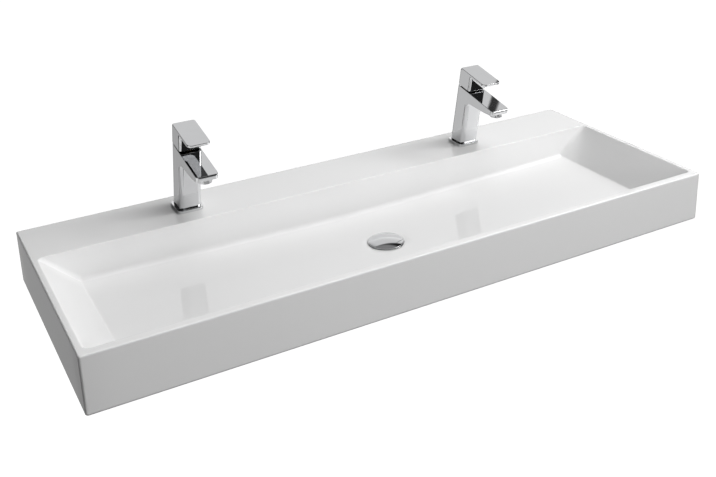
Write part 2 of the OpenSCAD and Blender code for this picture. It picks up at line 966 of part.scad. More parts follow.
// What the lever's rounded heel takes off its top back edge
module heel_cut() {
    side_profile(concat(
        corner(lever_back - heel_top_r, lever_h - heel_top_r, heel_top_r, 0),
        [[lever_back - heel_top_r, lever_h + over],
         [lever_back + over, lever_h + over],
         [lever_back + over, lever_h - heel_top_r]]), lever_w + 2);
}

module lever(side) {
    wall = block_wall;
    color(chrome)
        at_top(side)
            difference() {
                union() {
                    translate([0, 0, plate_under])
                        linear_extrude(lever_t)
                            polygon(rounded(-lever_w / 2, lever_back - plate_l, lever_w / 2, lever_back,
                                lever_r, lever_r));
                    difference() {
                        intersection() {
                            block_profile();
                            linear_extrude(plate_under + over)
                                polygon(rounded(-lever_w / 2, block_front, lever_w / 2, lever_back,
                                    block_r, block_r));
                        }
                        block(wall - lever_w / 2, lever_w / 2 - wall, block_front + wall,
                            lever_back - wall, -over, plate_under - roof);
                    }
                    block(-hub_w / 2, hub_w / 2, hub_front, hub_back, hub_bottom, plate_under - roof / 2);
                }
                heel_cut();
                cross_rod(pin_d + 2 * fit, 2 * hub_w, pivot_back, pivot_h);
                rod(spindle_d + 2 * fit, 0, screw_h + 7);
                translate([0, lever_back + over, screw_h])
                    rotate([90, 0, 0])
                        cylinder(d = screw_d + 2 * fit, h = lever_back + over);
            }
}

// Grub screw that clamps the lever to the spindle
module lever_screw(side) {
    color("gray")
        at_top(side)
            translate([0, spindle_d / 2 + fit, screw_h])
                rotate([-90, 0, 0])
                    difference() {
                        cylinder(d = screw_d, h = screw_l);
                        translate([0, 0, screw_l - 2.5])
                            cylinder(d = screw_d / 2 / cos(30), h = 2.5 + over, $fn = 6);
                    }
}

// Coloured plug over the grub screw's hole, at the back of the lever
module lever_plug(side) {
    color("firebrick")
        at_top(side)
            translate([0, lever_back - block_wall, screw_h])
                rotate([-90, 0, 0]) {
                    cylinder(d = screw_d, h = block_wall + plug_head_t / 2);
                    translate([0, 0, block_wall])
                        cylinder(d = plug_head_d, h = plug_head_t);
                }
}

module aerator_ring(side) {
    bore = aerator_d - 5;
    thread_top = outlet_h + aerator_depth - 1.5;
    color(chrome)
        at_tap(side)
            translate([0, aerator_place(), 0])
                difference() {
                    union() {
                        rod(aerator_d, outlet_h - aerator_drop, outlet_h - 0.1);
                        rod(aerator_bore_d - 2 * fit, outlet_h - 1, thread_top);
                    }
                    rod(bore, outlet_h - aerator_drop - over, thread_top + over);
                }
}

// Honeycomb of the jet, with its outlet holes
module aerator_insert(side) {
    insert_d = aerator_d - 5 - 2 * fit;
    low = outlet_h - aerator_drop + 0.6;
    high = outlet_h + aerator_depth - 2;
    color("black")
        at_tap(side)
            translate([0, aerator_place(), 0])
                difference() {
                    rod(insert_d, low, high);
                    rod(insert_d - 4, low + 3, high + over);
                    for (a = [0:60:300])
                        rotate(a)
                            translate([insert_d * 0.27, 0, 0])
                                rod(2.4, low - over, low + 4);
                    rod(2.4, low - over, low + 4);
                }
}

module aerator_washer(side) {
    color(rubber)
        at_tap(side)
            translate([0, aerator_place(), 0])
                tube(aerator_bore_d - 0.4, aerator_bore_d - 6, outlet_h + aerator_depth - 1.5,
                    outlet_h + aerator_depth);
}

module fixing_stud(side) {
    color("gray")
        at_tap(side)
            translate([0, stud_back, 0])
                rod(stud_d, stud_under, stud_inside - shank_drop);
}

// Round washer with a slot at the front for the hoses, under the ledge
module horseshoe(z0, z1) {
    translate([0, 0, z0])
        difference() {
            cylinder(d = horseshoe_d, h = z1 - z0);
            block(-horseshoe_slot / 2, horseshoe_slot / 2, -horseshoe_d, horseshoe_slot_end,
                -over, z1 - z0 + over);
            translate([0, stud_back, -over])
                cylinder(d = stud_d + 0.8, h = z1 - z0 + 2 * over);
        }
}

module rubber_horseshoe(side) {
    color(rubber)
        at_tap(side)
            horseshoe(-ledge_t - rubber_horseshoe_t, -ledge_t);
}

module steel_horseshoe(side) {
    top = -ledge_t - rubber_horseshoe_t;
    color("gray")
        at_tap(side)
            horseshoe(top - steel_horseshoe_t, top);
}

module stud_nut(side) {
    top = -ledge_t - rubber_horseshoe_t - steel_horseshoe_t;
    color(brass)
        at_tap(side)
            translate([0, stud_back, top - stud_nut_t])
                difference() {
                    cylinder(d = stud_nut_af / cos(30), h = stud_nut_t, $fn = 6);
                    translate([0, 0, -over])
                        cylinder(d = stud_d + 2 * fit, h = stud_nut_t + 2 * over);
                }
}

// ---------- nodes ----------

basin_ledge();
basin_back();
basin_front();
basin_sides();
basin_slopes();
basin_floor();
waste_body();
waste_flange_seal();
waste_lower_seal();
waste_backnut();
waste_mechanism();
waste_screw();
waste_spring();
waste_plunger();
waste_cap();
waste_cap_seal();

tap_body(left);  // left_tap_body
base_ring(left);  // left_base_ring
base_gasket(left);  // left_base_gasket
cartridge_seal(left);  // left_cartridge_seal
cartridge_housing(left);  // left_cartridge_housing
fixed_disc(left);  // left_fixed_disc
moving_disc(left);  // left_moving_disc
disc_driver(left);  // left_disc_driver
swivel_carrier(left);  // left_swivel_carrier
hinge_pin(left);  // left_hinge_pin
spindle(left);  // left_spindle
cartridge_nut(left);  // left_cartridge_nut
lever(left);  // left_lever
lever_screw(left);  // left_lever_screw
lever_plug(left);  // left_lever_plug
aerator_ring(left);  // left_aerator_ring
aerator_insert(left);  // left_aerator_insert
aerator_washer(left);  // left_aerator_washer
fixing_stud(left);  // left_fixing_stud
rubber_horseshoe(left);  // left_rubber_horseshoe
steel_horseshoe(left);  // left_steel_horseshoe
stud_nut(left);  // left_stud_nut

tap_body(right);  // right_tap_body
base_ring(right);  // right_base_ring
base_gasket(right);  // right_base_gasket
cartridge_seal(right);  // right_cartridge_seal
cartridge_housing(right);  // right_cartridge_housing
fixed_disc(right);  // right_fixed_disc
moving_disc(right);  // right_moving_disc
disc_driver(right);  // right_disc_driver
swivel_carrier(right);  // right_swivel_carrier
hinge_pin(right);  // right_hinge_pin
spindle(right);  // right_spindle
cartridge_nut(right);  // right_cartridge_nut
lever(right);  // right_lever
lever_screw(right);  // right_lever_screw
lever_plug(right);  // right_lever_plug
aerator_ring(right);  // right_aerator_ring
aerator_insert(right);  // right_aerator_insert
aerator_washer(right);  // right_aerator_washer
fixing_stud(right);  // right_fixing_stud
rubber_horseshoe(right);  // right_rubber_horseshoe
steel_horseshoe(right);  // right_steel_horseshoe
stud_nut(right);  // right_stud_nut
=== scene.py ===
# %% [markdown]
# # A trough basin with two taps
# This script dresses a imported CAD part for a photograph-like render. The CAD gives every piece its
# size and place; Blender gives the soft edges, the glaze and the chrome. Each step below first says
# what the piece is on the real object, how it could be made, and why this way was chosen.

import json
import math

import bmesh
import bpy
from mathutils import Matrix, Vector

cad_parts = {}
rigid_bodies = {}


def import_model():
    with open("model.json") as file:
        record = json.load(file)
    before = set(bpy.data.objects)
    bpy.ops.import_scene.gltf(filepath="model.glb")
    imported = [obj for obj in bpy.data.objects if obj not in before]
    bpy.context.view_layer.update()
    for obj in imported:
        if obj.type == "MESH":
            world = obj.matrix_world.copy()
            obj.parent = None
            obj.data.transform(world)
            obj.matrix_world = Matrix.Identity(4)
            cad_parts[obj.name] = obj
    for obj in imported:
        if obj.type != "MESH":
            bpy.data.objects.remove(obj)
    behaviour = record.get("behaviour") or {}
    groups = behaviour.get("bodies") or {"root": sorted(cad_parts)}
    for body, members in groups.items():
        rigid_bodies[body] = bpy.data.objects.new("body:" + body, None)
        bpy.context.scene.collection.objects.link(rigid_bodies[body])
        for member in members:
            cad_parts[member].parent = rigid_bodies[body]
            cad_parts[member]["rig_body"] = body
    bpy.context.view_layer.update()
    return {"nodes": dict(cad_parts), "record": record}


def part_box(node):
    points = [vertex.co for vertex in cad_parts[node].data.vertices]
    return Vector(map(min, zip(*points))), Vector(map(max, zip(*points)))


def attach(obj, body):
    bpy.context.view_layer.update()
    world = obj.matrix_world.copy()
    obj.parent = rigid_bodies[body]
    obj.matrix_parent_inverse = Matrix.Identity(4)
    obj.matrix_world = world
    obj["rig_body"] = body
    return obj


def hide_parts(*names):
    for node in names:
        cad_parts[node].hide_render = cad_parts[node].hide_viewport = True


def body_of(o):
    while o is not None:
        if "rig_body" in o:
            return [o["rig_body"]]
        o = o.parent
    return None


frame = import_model()
nodes = frame["nodes"]

# %% [markdown]
# ## The camera
# The photograph was taken from the front left, a little above the basin, and then cropped, so its
# middle isn't where the lens pointed. A plain camera aimed at the middle would lean the upright
# edges the wrong way. A camera with a shift keeps them right, so the lens direction comes from the
# fitted view and the shift moves the frame.

# %% Camera
PHOTO_W, PHOTO_H = 716, 477
FOCAL_PX = 970.54
AXIS_PX = (387.89, 92.25)
VIEW_FROM = Vector((-0.79935, -1.67163, 0.79336))
VIEW_RIGHT = Vector((0.864246, -0.502753, -0.017859))
VIEW_DOWN = Vector((-0.171821, -0.261628, -0.949752))
VIEW_AHEAD = Vector((0.472818, 0.823887, -0.312495))
SENSOR_MM = 36
NEAREST, FARTHEST = 0.05, 60.0

lens = bpy.data.cameras.new("lens")
camera = bpy.data.objects.new("camera", lens)
bpy.context.scene.collection.objects.link(camera)
lens.sensor_fit = "HORIZONTAL"
lens.sensor_width = SENSOR_MM
lens.lens = FOCAL_PX / PHOTO_W * lens.sensor_width
lens.shift_x = (PHOTO_W / 2 - AXIS_PX[0]) / PHOTO_W
lens.shift_y = (AXIS_PX[1] - PHOTO_H / 2) / PHOTO_W
lens.clip_start, lens.clip_end = NEAREST, FARTHEST
turned_to = Matrix((VIEW_RIGHT, -VIEW_DOWN, -VIEW_AHEAD)).transposed()
camera.matrix_world = Matrix.Translation(VIEW_FROM) @ turned_to.to_4x4()
bpy.context.scene.camera = camera
print("lens mm:", round(lens.lens, 2), "shift:", round(lens.shift_x, 4), round(lens.shift_y, 4))

# %% [markdown]
# ## Small helpers for meshes
# Every piece ends as one plain mesh whose object stays at the origin, as the CAD pieces do. The
# helpers take millimetres, because that is how a maker reads a drawing, and store metres.

# %% Mesh helpers
MM = 0.001


def skin(name, corners, faces):
    """A new object from corners in millimetres."""
    mesh = bpy.data.meshes.new(name)
    mesh.from_pydata([Vector(corner) * MM for corner in corners], [], faces)
    mesh.validate()
    thing = bpy.data.objects.new(name, mesh)
    bpy.context.scene.collection.objects.link(thing)
    return thing


def lofted(name, loops):
    """Joins loops of equal length into one closed ring of skin, the last loop back to the first."""
    count = len(loops[0])
    faces = []
    for row in range(len(loops)):
        after = (row + 1) % len(loops)
        for k in range(count):
            turn_on = (k + 1) % count
            faces.append((row * count + k, row * count + turn_on,
                          after * count + turn_on, after * count + k))
    return skin(name, [corner for loop in loops for corner in loop], faces)


def settle(thing):
    """Turns a piece with modifiers into the plain mesh that they give."""
    graph = bpy.context.evaluated_depsgraph_get()
    final = thing.evaluated_get(graph)
    mesh = bpy.data.meshes.new_from_object(final, preserve_all_data_layers=True, depsgraph=graph)
    thing.modifiers.clear()
    thing.data = mesh
    mesh.name = thing.name
    return thing


def cut_out(thing, other):
    """Cuts the other piece out of this one, and takes the other away."""
    work = thing.modifiers.new("cut", "BOOLEAN")
    work.operation, work.solver, work.object = "DIFFERENCE", "EXACT", other
    settle(thing)
    bpy.data.objects.remove(other)


def smooth(thing, degrees=35.0):
    """Shades a piece smooth but keeps the edges that are sharper than the angle."""
    thing.data.shade_smooth()
    thing.data.set_sharp_from_angle(angle=math.radians(degrees))
    return thing


def place_on(thing, body, slot, *stands_for):
    """Lets a finished piece move with a body, and hides the CAD pieces it stands for."""
    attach(thing, body)
    if stands_for:
        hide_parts(*stands_for)
    print(thing.name, "faces:", len(thing.data.polygons))


print("one millimetre in metres:", MM)

# %% [markdown]
# ## The ceramic casting
# A trough basin is slip-cast in one piece: ledge, rims, bowl and skirt are one skin of glazed clay,
# and every edge is soft because glaze can't hold a sharp one. A box with a hole cut in it would
# show knife edges. So the basin is lofted: loops of 96 points run up the outside, over the rim,
# down into the bowl and out through the waste hole, and each loop lies where the shape bends.

# %% Measures of the basin
HALF_W, DEPTH = 600.0, 455.0
RIM_Z, FOOT_Z = 39.0, -60.0
FRONT_CORNER_R, RIM_R, FOOT_R = 4.0, 2.5, 5.0
BOWL_HALF_W, BOWL_FRONT, BOWL_BACK = 589.0, -440.0, -126.0
BOWL_CORNER_R, FILLET_R, LIP_R = 10.0, 8.0, 1.2
FLOOR_END_Z, FLOOR_MID_Z, FLOOR_CREASE_R = -20.5, -32.0, 60.0
END_DROP, END_RUN = 59.5, 64.0
END_SLOPE = math.atan2(END_DROP, END_RUN)
FOOT_X = BOWL_HALF_W - END_RUN - FILLET_R * math.tan(END_SLOPE / 2)
WASTE_Y, WASTE_HOLE_R = -261.0, 23.0
SEAT_R, SEAT_Z = 34.25, -34.0
TAP_X, TAP_Y, TAP_HOLE_R = 308.0, -63.0, 17.5
print("end slope:", round(math.degrees(END_SLOPE), 1), "floor foot at x:", round(FOOT_X, 1))

# %% Where the points of a loop lie
ON_LONG_SIDE, ON_SHORT_SIDE, ON_CORNER = 24, 8, 8
QUARTER = 90


def loop_marks():
    """For each point of a loop: the part it is on, the signs of its corner, its angle or its share
    of the side, and how much it belongs to an end: 0 on the long sides, 1 on the ends."""
    marks = []
    for sign_x, sign_y, first in ((1, 1, 0), (-1, 1, 90), (-1, -1, 180), (1, -1, 270)):
        for step in range(ON_CORNER):
            angle = math.radians(first + QUARTER * step / (ON_CORNER - 1))
            marks.append(("corner", sign_x, sign_y, angle, math.cos(angle) ** 2))
        is_long = first in (0, 180)
        count = ON_LONG_SIDE if is_long else ON_SHORT_SIDE
        for step in range(count):
            share = (step + 1) / (count + 1)
            marks.append(("side", sign_x, sign_y, share, 0.0 if is_long else 1.0))
    return marks


MARKS = loop_marks()


def around(half_w, front, back, r_front, r_back):
    """Points (x, y) of a rounded rectangle, anticlockwise from its back right corner."""
    points = []
    for kind, sign_x, sign_y, along, on_end in MARKS:
        radius = r_back if sign_y > 0 else r_front
        x = sign_x * (half_w - radius)
        y = back - radius if sign_y > 0 else front + radius
        if kind == "corner":
            points.append((x + radius * math.cos(along), y + radius * math.sin(along)))
        elif on_end == 0:
            points.append((x * (1 - 2 * along), y + sign_y * radius))
        else:
            other = front + r_front if sign_y > 0 else back - r_back
            points.append((x + sign_x * radius, y + (other - y) * along))
    return points


def circle(radius):
    """The same number of points on a circle round the waste, matched to those of a loop."""
    count = len(MARKS)
    ahead = ON_CORNER - (ON_CORNER - 1) / 2
    turns = [(k + ahead) / count * math.tau for k in range(count)]
    return [(radius * math.cos(a), WASTE_Y + radius * math.sin(a)) for a in turns]


def floor_z(x):
    """The bowl's floor falls from both ends to the waste, with a soft trough in the middle."""
    def soft(distance):
        return math.hypot(distance, FLOOR_CREASE_R) - FLOOR_CREASE_R
    share = min(soft(x) / soft(FOOT_X), 1.0)
    return FLOOR_MID_Z + (FLOOR_END_Z - FLOOR_MID_Z) * share


print("points in a loop:", len(MARKS))

# %% Loops of the outside and the rim
# A loop this far beside a rounding keeps the shading of the flat next to it flat.
EDGE_HOLD = 0.6
ARC_STEPS = 4
loops = []


def level(points, z):
    return [(x, y, z) for x, y in points]


for step in range(ARC_STEPS + 1):
    angle = math.radians(QUARTER * step / ARC_STEPS)
    inset = FOOT_R * (1 - math.sin(angle))
    loops.append(level(around(HALF_W - inset, inset - DEPTH, 0, FRONT_CORNER_R, RIM_R),
                       FOOT_Z + FOOT_R * (1 - math.cos(angle))))
for z in (FOOT_Z + FOOT_R + EDGE_HOLD, RIM_Z - RIM_R - EDGE_HOLD):
    loops.append(level(around(HALF_W, -DEPTH, 0, FRONT_CORNER_R, RIM_R), z))
for step in range(ARC_STEPS + 1):
    angle = math.radians(QUARTER * step / ARC_STEPS)
    inset = RIM_R * (1 - math.cos(angle))
    loops.append(level(around(HALF_W - inset, inset - DEPTH, -inset, FRONT_CORNER_R, RIM_R),
                       RIM_Z - RIM_R + RIM_R * math.sin(angle)))
inset = RIM_R + EDGE_HOLD
loops.append(level(around(HALF_W - inset, inset - DEPTH, -inset, FRONT_CORNER_R, RIM_R), RIM_Z))
print("loops to the rim:", len(loops))

# %% Loops of the bowl's lip, walls and fillet
UPRIGHT = math.radians(QUARTER)
FILLET_STEPS = 6
LEAST_OUT = 0.4
DOWN_THE_WALL = (0.02, 0.3, 0.6, 0.85, 0.98)
end_lip_r = LIP_R / (1 - math.cos(END_SLOPE))
end_lip_out = end_lip_r * math.tan(END_SLOPE / 2)


def lip_loop(share, hold=0.0):
    """The rounding at the bowl's edge. The long walls drop straight, the ends at their slope."""
    angle, end_angle = math.radians(QUARTER * share), END_SLOPE * share
    out = LIP_R * (1 - math.sin(angle)) + hold
    end_out = end_lip_out - end_lip_r * math.sin(end_angle) + hold
    drop, end_drop = LIP_R * (1 - math.cos(angle)), end_lip_r * (1 - math.cos(end_angle))
    points = around(BOWL_HALF_W + end_out, BOWL_FRONT - out, BOWL_BACK + out, BOWL_CORNER_R + out,
                    BOWL_CORNER_R + out)
    return [(x, y, RIM_Z - drop - (end_drop - drop) * on_end)
            for (x, y), (_, _, _, _, on_end) in zip(points, MARKS)]


def fillet_loop(share):
    """The rounding between a wall and the floor: share 1 is at the wall, 0 on the floor."""
    loop = []
    for (x, y), (kind, sign_x, sign_y, along, on_end) in zip(
            around(FOOT_X, BOWL_FRONT + FILLET_R, BOWL_BACK - FILLET_R, 0, 0), MARKS):
        wall_angle = UPRIGHT + (END_SLOPE - UPRIGHT) * on_end
        out = max(FILLET_R * math.sin(wall_angle * share), LEAST_OUT)
        z = floor_z(x) + FILLET_R * (1 - math.cos(wall_angle * share))
        if kind == "corner":
            way = (math.cos(along), math.sin(along))
        else:
            way = (0, sign_y) if on_end == 0 else (sign_x, 0)
        loop.append((x + out * way[0], y + out * way[1], z))
    return loop


def between(first, second, share):
    return [tuple(Vector(a).lerp(Vector(b), share)) for a, b in zip(first, second)]


loops.append(lip_loop(0, EDGE_HOLD))
for step in range(ARC_STEPS + 1):
    loops.append(lip_loop(step / ARC_STEPS))
lip_end, wall_end = loops[-1], fillet_loop(1)
for share in DOWN_THE_WALL:
    loops.append(between(lip_end, wall_end, share))
for step in range(FILLET_STEPS, -1, -1):
    loops.append(fillet_loop(step / FILLET_STEPS))
print("loops to the floor:", len(loops))

# %% Loops of the floor, the waste's seat and its hole
ALONG_THE_FLOOR = (0.03, 0.12, 0.25, 0.4, 0.55, 0.7, 0.82, 0.91, 0.97)
# The soft edge of the seat: how far outside its radius and how far below the floor each loop lies.
SEAT_EDGE = ((0.8, 0.0), (0.25, 0.2), (0.0, 0.7))
floor_edge, seat_edge = loops[-1], circle(SEAT_R + SEAT_EDGE[0][0])
for share in ALONG_THE_FLOOR:
    loop = between(floor_edge, level(seat_edge, 0), share)
    loops.append([(x, y, floor_z(x)) for x, y, z in loop])
for out, drop in SEAT_EDGE:
    loops.append([(x, y, floor_z(x) - drop) for x, y in circle(SEAT_R + out)])
loops.append(level(circle(SEAT_R), SEAT_Z))
loops.append(level(circle(WASTE_HOLE_R), SEAT_Z))
loops.append(level(circle(WASTE_HOLE_R), FOOT_Z))
basin = lofted("basin", loops)
print("basin loft:", len(loops), "loops,", len(basin.data.polygons), "faces")

# %% [markdown]
# ## The hollow underneath and the holes
# The mould leaves the underside open, so the casting is a shell of about 12 mm. Its hollow is the
# space inside the skirt, less the bowl with its wall added and the thick pad round the waste.
# Cutting one solid out of another keeps the glazed top as it was lofted. The hollow, the back and
# the foot stay unglazed on the real thing, because the casting rests on them in the kiln.

# %% Two shapes to cut with
def rounded_block(name, low, high, radius):
    """A block between two corners, with rounded edges."""
    corners = [(x, y, z) for x in (low[0], high[0]) for y in (low[1], high[1])
               for z in (low[2], high[2])]
    faces = [(0, 1, 3, 2), (4, 6, 7, 5), (0, 4, 5, 1), (2, 3, 7, 6), (0, 2, 6, 4), (1, 5, 7, 3)]
    thing = skin(name, corners, faces)
    edges = thing.modifiers.new("edges", "BEVEL")
    edges.width, edges.segments = radius * MM, ARC_STEPS
    return settle(thing)


def bar(name, radius, start, way, length, sides):
    """A closed round bar, from a start along a way."""
    turn_to = Vector(way).to_track_quat("Z", "Y")
    corners = []
    for height in (0.0, length):
        for k in range(sides):
            angle = math.tau * k / sides
            corners.append(Vector(start) + turn_to @ Vector((radius * math.cos(angle),
                                                             radius * math.sin(angle), height)))
    faces = [(k, (k + 1) % sides, sides + (k + 1) % sides, sides + k) for k in range(sides)]
    faces += [tuple(reversed(range(sides))), tuple(range(sides, 2 * sides))]
    return skin(name, corners, faces)


print("cutting shapes:", rounded_block.__name__, bar.__name__)

# %% The bowl with its wall
WALL_T = 12.0
BALL_RINGS, BALL_SIDES = 8, 32


def low_ball(x, y, z, radius):
    """Points on the lower half of a ball."""
    for ring in range(-BALL_RINGS, 1):
        up = math.radians(QUARTER * ring / BALL_RINGS)
        for step in range(BALL_SIDES):
            angle = math.tau * step / BALL_SIDES
            yield Vector((x + radius * math.cos(up) * math.cos(angle),
                          y + radius * math.cos(up) * math.sin(angle), z + radius * math.sin(up)))


def bowl_outside():
    """The bowl with its wall added, as the tight skin over balls in its low corners and its rim."""
    work = bmesh.new()
    for y in (BOWL_BACK - FILLET_R, BOWL_FRONT + FILLET_R):
        for x, z in ((-FOOT_X, FLOOR_END_Z), (0, FLOOR_MID_Z), (FOOT_X, FLOOR_END_Z)):
            for corner in low_ball(x, y, z + FILLET_R, FILLET_R + WALL_T):
                work.verts.new(corner * MM)
    half_w, corner_r = BOWL_HALF_W + WALL_T / math.sin(END_SLOPE), BOWL_CORNER_R + WALL_T
    for x, y in around(half_w, BOWL_FRONT - WALL_T, BOWL_BACK + WALL_T, corner_r, corner_r):
        work.verts.new(Vector((x, y, RIM_Z)) * MM)
    hull = bmesh.ops.convex_hull(work, input=work.verts)
    within = {item for item in hull["geom_interior"] if isinstance(item, bmesh.types.BMVert)}
    bmesh.ops.delete(work, geom=list(within), context="VERTS")
    mesh = bpy.data.meshes.new("bowl_outside")
    work.to_mesh(mesh)
    work.free()
    thing = bpy.data.objects.new("bowl_outside", mesh)
    bpy.context.scene.collection.objects.link(thing)
    return thing


solid_bowl = bowl_outside()
print("bowl with its wall:", len(solid_bowl.data.polygons), "faces")

# %% The hollow and the holes
SKIRT_T, APRON_T, LEDGE_T = 12.0, 14.0, 14.0
HOLLOW_X, HOLLOW_FRONT, HOLLOW_BACK = HALF_W - SKIRT_T, SKIRT_T - DEPTH, -APRON_T
HOLLOW_TOP, HOLLOW_R = RIM_Z - LEDGE_T, 6.0
PAD_R, PAD_Z = 38.75, -47.0
FIXING_X, FIXING_R = (-500, -140, 140, 500), 7.0
OVERRUN = 20.0
UP, OUT_OF_WALL = (0, 0, 1), (0, -1, 0)

hollow = rounded_block("hollow", (-HOLLOW_X, HOLLOW_FRONT, FOOT_Z - OVERRUN),
                       (HOLLOW_X, HOLLOW_BACK, HOLLOW_TOP), HOLLOW_R)
cut_out(hollow, solid_bowl)
cut_out(hollow, bar("pad", PAD_R, (0, WASTE_Y, PAD_Z), UP, 2 * OVERRUN, 96))
cut_out(basin, hollow)
for x in (-TAP_X, TAP_X):
    start = (x, TAP_Y, HOLLOW_TOP - OVERRUN / 2)
    cut_out(basin, bar("tap_hole", TAP_HOLE_R, start, UP, 2 * OVERRUN, 96))
for x in FIXING_X:
    start = (x, OVERRUN / 4, 0)
    cut_out(basin, bar("wall_hole", FIXING_R, start, OUT_OF_WALL, 1.5 * OVERRUN, 48))
smooth(basin)
print("basin after cutting:", len(basin.data.polygons), "faces")

# %% [markdown]
# ## Writing materials as sums
# A shader is a small calculation done at every point. Wiring Math nodes by hand hides the sum, so
# three small classes let it be written the way it is thought: `Value` is a socket that + - * / and
# ** work on, `Tree` has the `node` method that makes any other node, and `Finish` is a material.

# %% A value that can be reckoned with
class Value:
    """A socket of a node. Arithmetic on it adds Math nodes to its tree."""

    def __init__(self, tree, socket):
        self.tree, self.socket = tree, socket

    def sum(self, operation, first, second):
        return self.tree.node("Math", {"operation": operation}, {0: first, 1: second})

    def __add__(self, other):
        return self.sum("ADD", self, other)

    def __sub__(self, other):
        return self.sum("SUBTRACT", self, other)

    def __rsub__(self, other):
        return self.sum("SUBTRACT", other, self)

    def __mul__(self, other):
        return self.sum("MULTIPLY", self, other)

    def __truediv__(self, other):
        return self.sum("DIVIDE", self, other)

    def __pow__(self, other):
        return self.sum("POWER", self, other)


print("reckoning with:", Value.__name__)


# %% Trees and materials
MICRON = 0.000001


class Tree:
    """Nodes in the making, of a material, a world or a recipe."""

    def __init__(self, nodes_of):
        self.tree = nodes_of
        self.tree.nodes.clear()

    def full_name(self, kind):
        return "ShaderNode" + kind

    def node(self, kind, settings=None, inputs=None, output=0):
        """Makes a node, sets its settings, fills or links its sockets, and gives one output."""
        made = self.tree.nodes.new(self.full_name(kind))
        for name, value in (settings or {}).items():
            setattr(made, name, value)
        for name, value in (inputs or {}).items():
            if isinstance(value, Value):
                self.tree.links.new(value.socket, made.inputs[name])
            else:
                made.inputs[name].default_value = value
        return Value(self, made.outputs[output]) if len(made.outputs) else None

    def split(self, vector):
        """The three numbers of a vector."""
        outputs = self.node("SeparateXYZ", inputs={"Vector": vector}).socket.node.outputs
        return [Value(self, output) for output in outputs]

    def fade(self, value, low, high):
        """0 below the low value, 1 above the high one, and smooth between."""
        return self.node("MapRange", {"interpolation_type": "SMOOTHSTEP"},
                         {"Value": value, "From Min": low, "From Max": high})


class Finish(Tree):
    """A material in the making. Sockets are named with _ for a space."""

    def __init__(self, name, **constants):
        self.material = bpy.data.materials.new(name)
        self.material.use_nodes = True
        super().__init__(self.material.node_tree)
        self.place = self.node("TexCoord", output="Object")
        inputs = {socket.replace("_", " "): value for socket, value in constants.items()}
        self.shader = self.node("BsdfPrincipled", inputs=inputs)
        self.node("OutputMaterial", inputs={"Surface": self.shader})

    def feed(self, **links):
        """Links values to the shader's sockets."""
        sockets = self.shader.socket.node.inputs
        for name, value in links.items():
            self.tree.links.new(value.socket, sockets[name.replace("_", " ")])

    def noise(self, scale, detail=2.0, seed=0.0):
        """Soft random values from 0 to 1, with a scale in patches per metre."""
        apart = (seed, seed / 2, -seed)
        where = self.node("Mapping", inputs={"Vector": self.place, "Location": apart})
        return self.node("TexNoise", inputs={"Vector": where, "Scale": scale, "Detail": detail})

    def blend(self, factor, first, second):
        """A colour between two, as factor goes from 0 to 1."""
        return self.node("Mix", {"data_type": "RGBA"}, {0: factor, 6: first, 7: second}, output=2)

    def bump(self, height, microns, strength):
        """Raises the surface by a height from 0 to 1, times a distance in microns."""
        self.feed(Normal=self.node("Bump", inputs={
            "Height": height, "Distance": microns * MICRON, "Strength": strength}))


def grey(level, blue=0.0):
    """A grey with a cast: blue above 0, yellow below."""
    return (level - blue / 2, level, level + blue, 1.0)


print("materials are made by:", Finish.__name__)

# %% [markdown]
# ## Glaze
# Sanitary glaze is a thick glassy coat. It is nearly white, a little uneven in tone because it
# pools as it melts, and its surface has a very slight orange peel that only reflections give away.
# So the colour moves by a few hundredths over a hand's width, and two soft bumps of a few microns,
# one broad and one fine, ripple the reflections. A flat white with a mirror coat would look like
# plastic.

# %% The glaze
glaze = Finish("sanitary_glaze", IOR=1.5)
glaze.feed(Base_Color=glaze.blend(glaze.noise(3.0, detail=3.0), grey(0.80), grey(0.83)))
glaze.feed(Roughness=glaze.noise(30.0) * 0.03 + 0.02)
broad, fine = glaze.noise(60.0, detail=1.0, seed=3.0), glaze.noise(350.0, detail=1.0, seed=5.0)
glaze.bump(broad * 0.85 + fine * 0.15, microns=20, strength=0.5)
print("glaze:", glaze.material.name)

# %% [markdown]
# ## Bare clay
# Fired vitreous china without glaze is a dull cream, with tiny pores and the faint drag of the
# sponge that wiped the glaze off. A cell texture gives the pores, sunk by a bump and painted darker
# in the colour as painted shade, and a stretched noise gives the drag.

# %% Bare clay
clay = Finish("bare_clay", IOR=1.45)
pores = clay.node("TexVoronoi", inputs={"Vector": clay.place, "Scale": 420.0})
pit_depth_and_painted_shade = clay.fade(pores, 0.08, 0.3)
stretched = clay.node("Mapping", inputs={"Vector": clay.place, "Scale": (1.0, 4.0, 9.0)})
drag = clay.node("TexNoise", inputs={"Vector": stretched, "Scale": 9.0, "Detail": 5.0})
CLAY_DARK, CLAY_PALE = (0.50, 0.47, 0.42, 1), (0.66, 0.63, 0.58, 1)
# The pits darken the colour a little: painted shade in the pores, on top of their bump.
clay.feed(Base_Color=clay.blend(drag * 0.7 + pit_depth_and_painted_shade * 0.3, CLAY_DARK, CLAY_PALE))
clay.feed(Roughness=drag * 0.15 + 0.72)
clay.bump(pit_depth_and_painted_shade * 0.6 + clay.noise(900.0, detail=2.0) * 0.4, microns=80, strength=0.6)
print("clay:", clay.material.name)

# %% [markdown]
# ## Chrome
# Chrome plate is thin, so it repeats the polishing under it: almost a mirror, with a haze that
# comes and goes over a few millimetres and a slight waviness on the flats. Its colour is a cool
# grey of about three quarters, and handling leaves it a touch duller here and there.

# %% Chrome
chrome = Finish("bright_chrome", Metallic=1.0)
handling = chrome.noise(22.0, detail=3.0)
chrome.feed(Base_Color=chrome.blend(handling, grey(0.72, 0.01), grey(0.78, 0.01)))
chrome.feed(Roughness=chrome.noise(90.0) * 0.02 + handling * 0.015 + 0.004)
chrome.bump(chrome.noise(120.0, detail=1.0, seed=4.0), microns=10, strength=0.3)
print("chrome:", chrome.material.name)

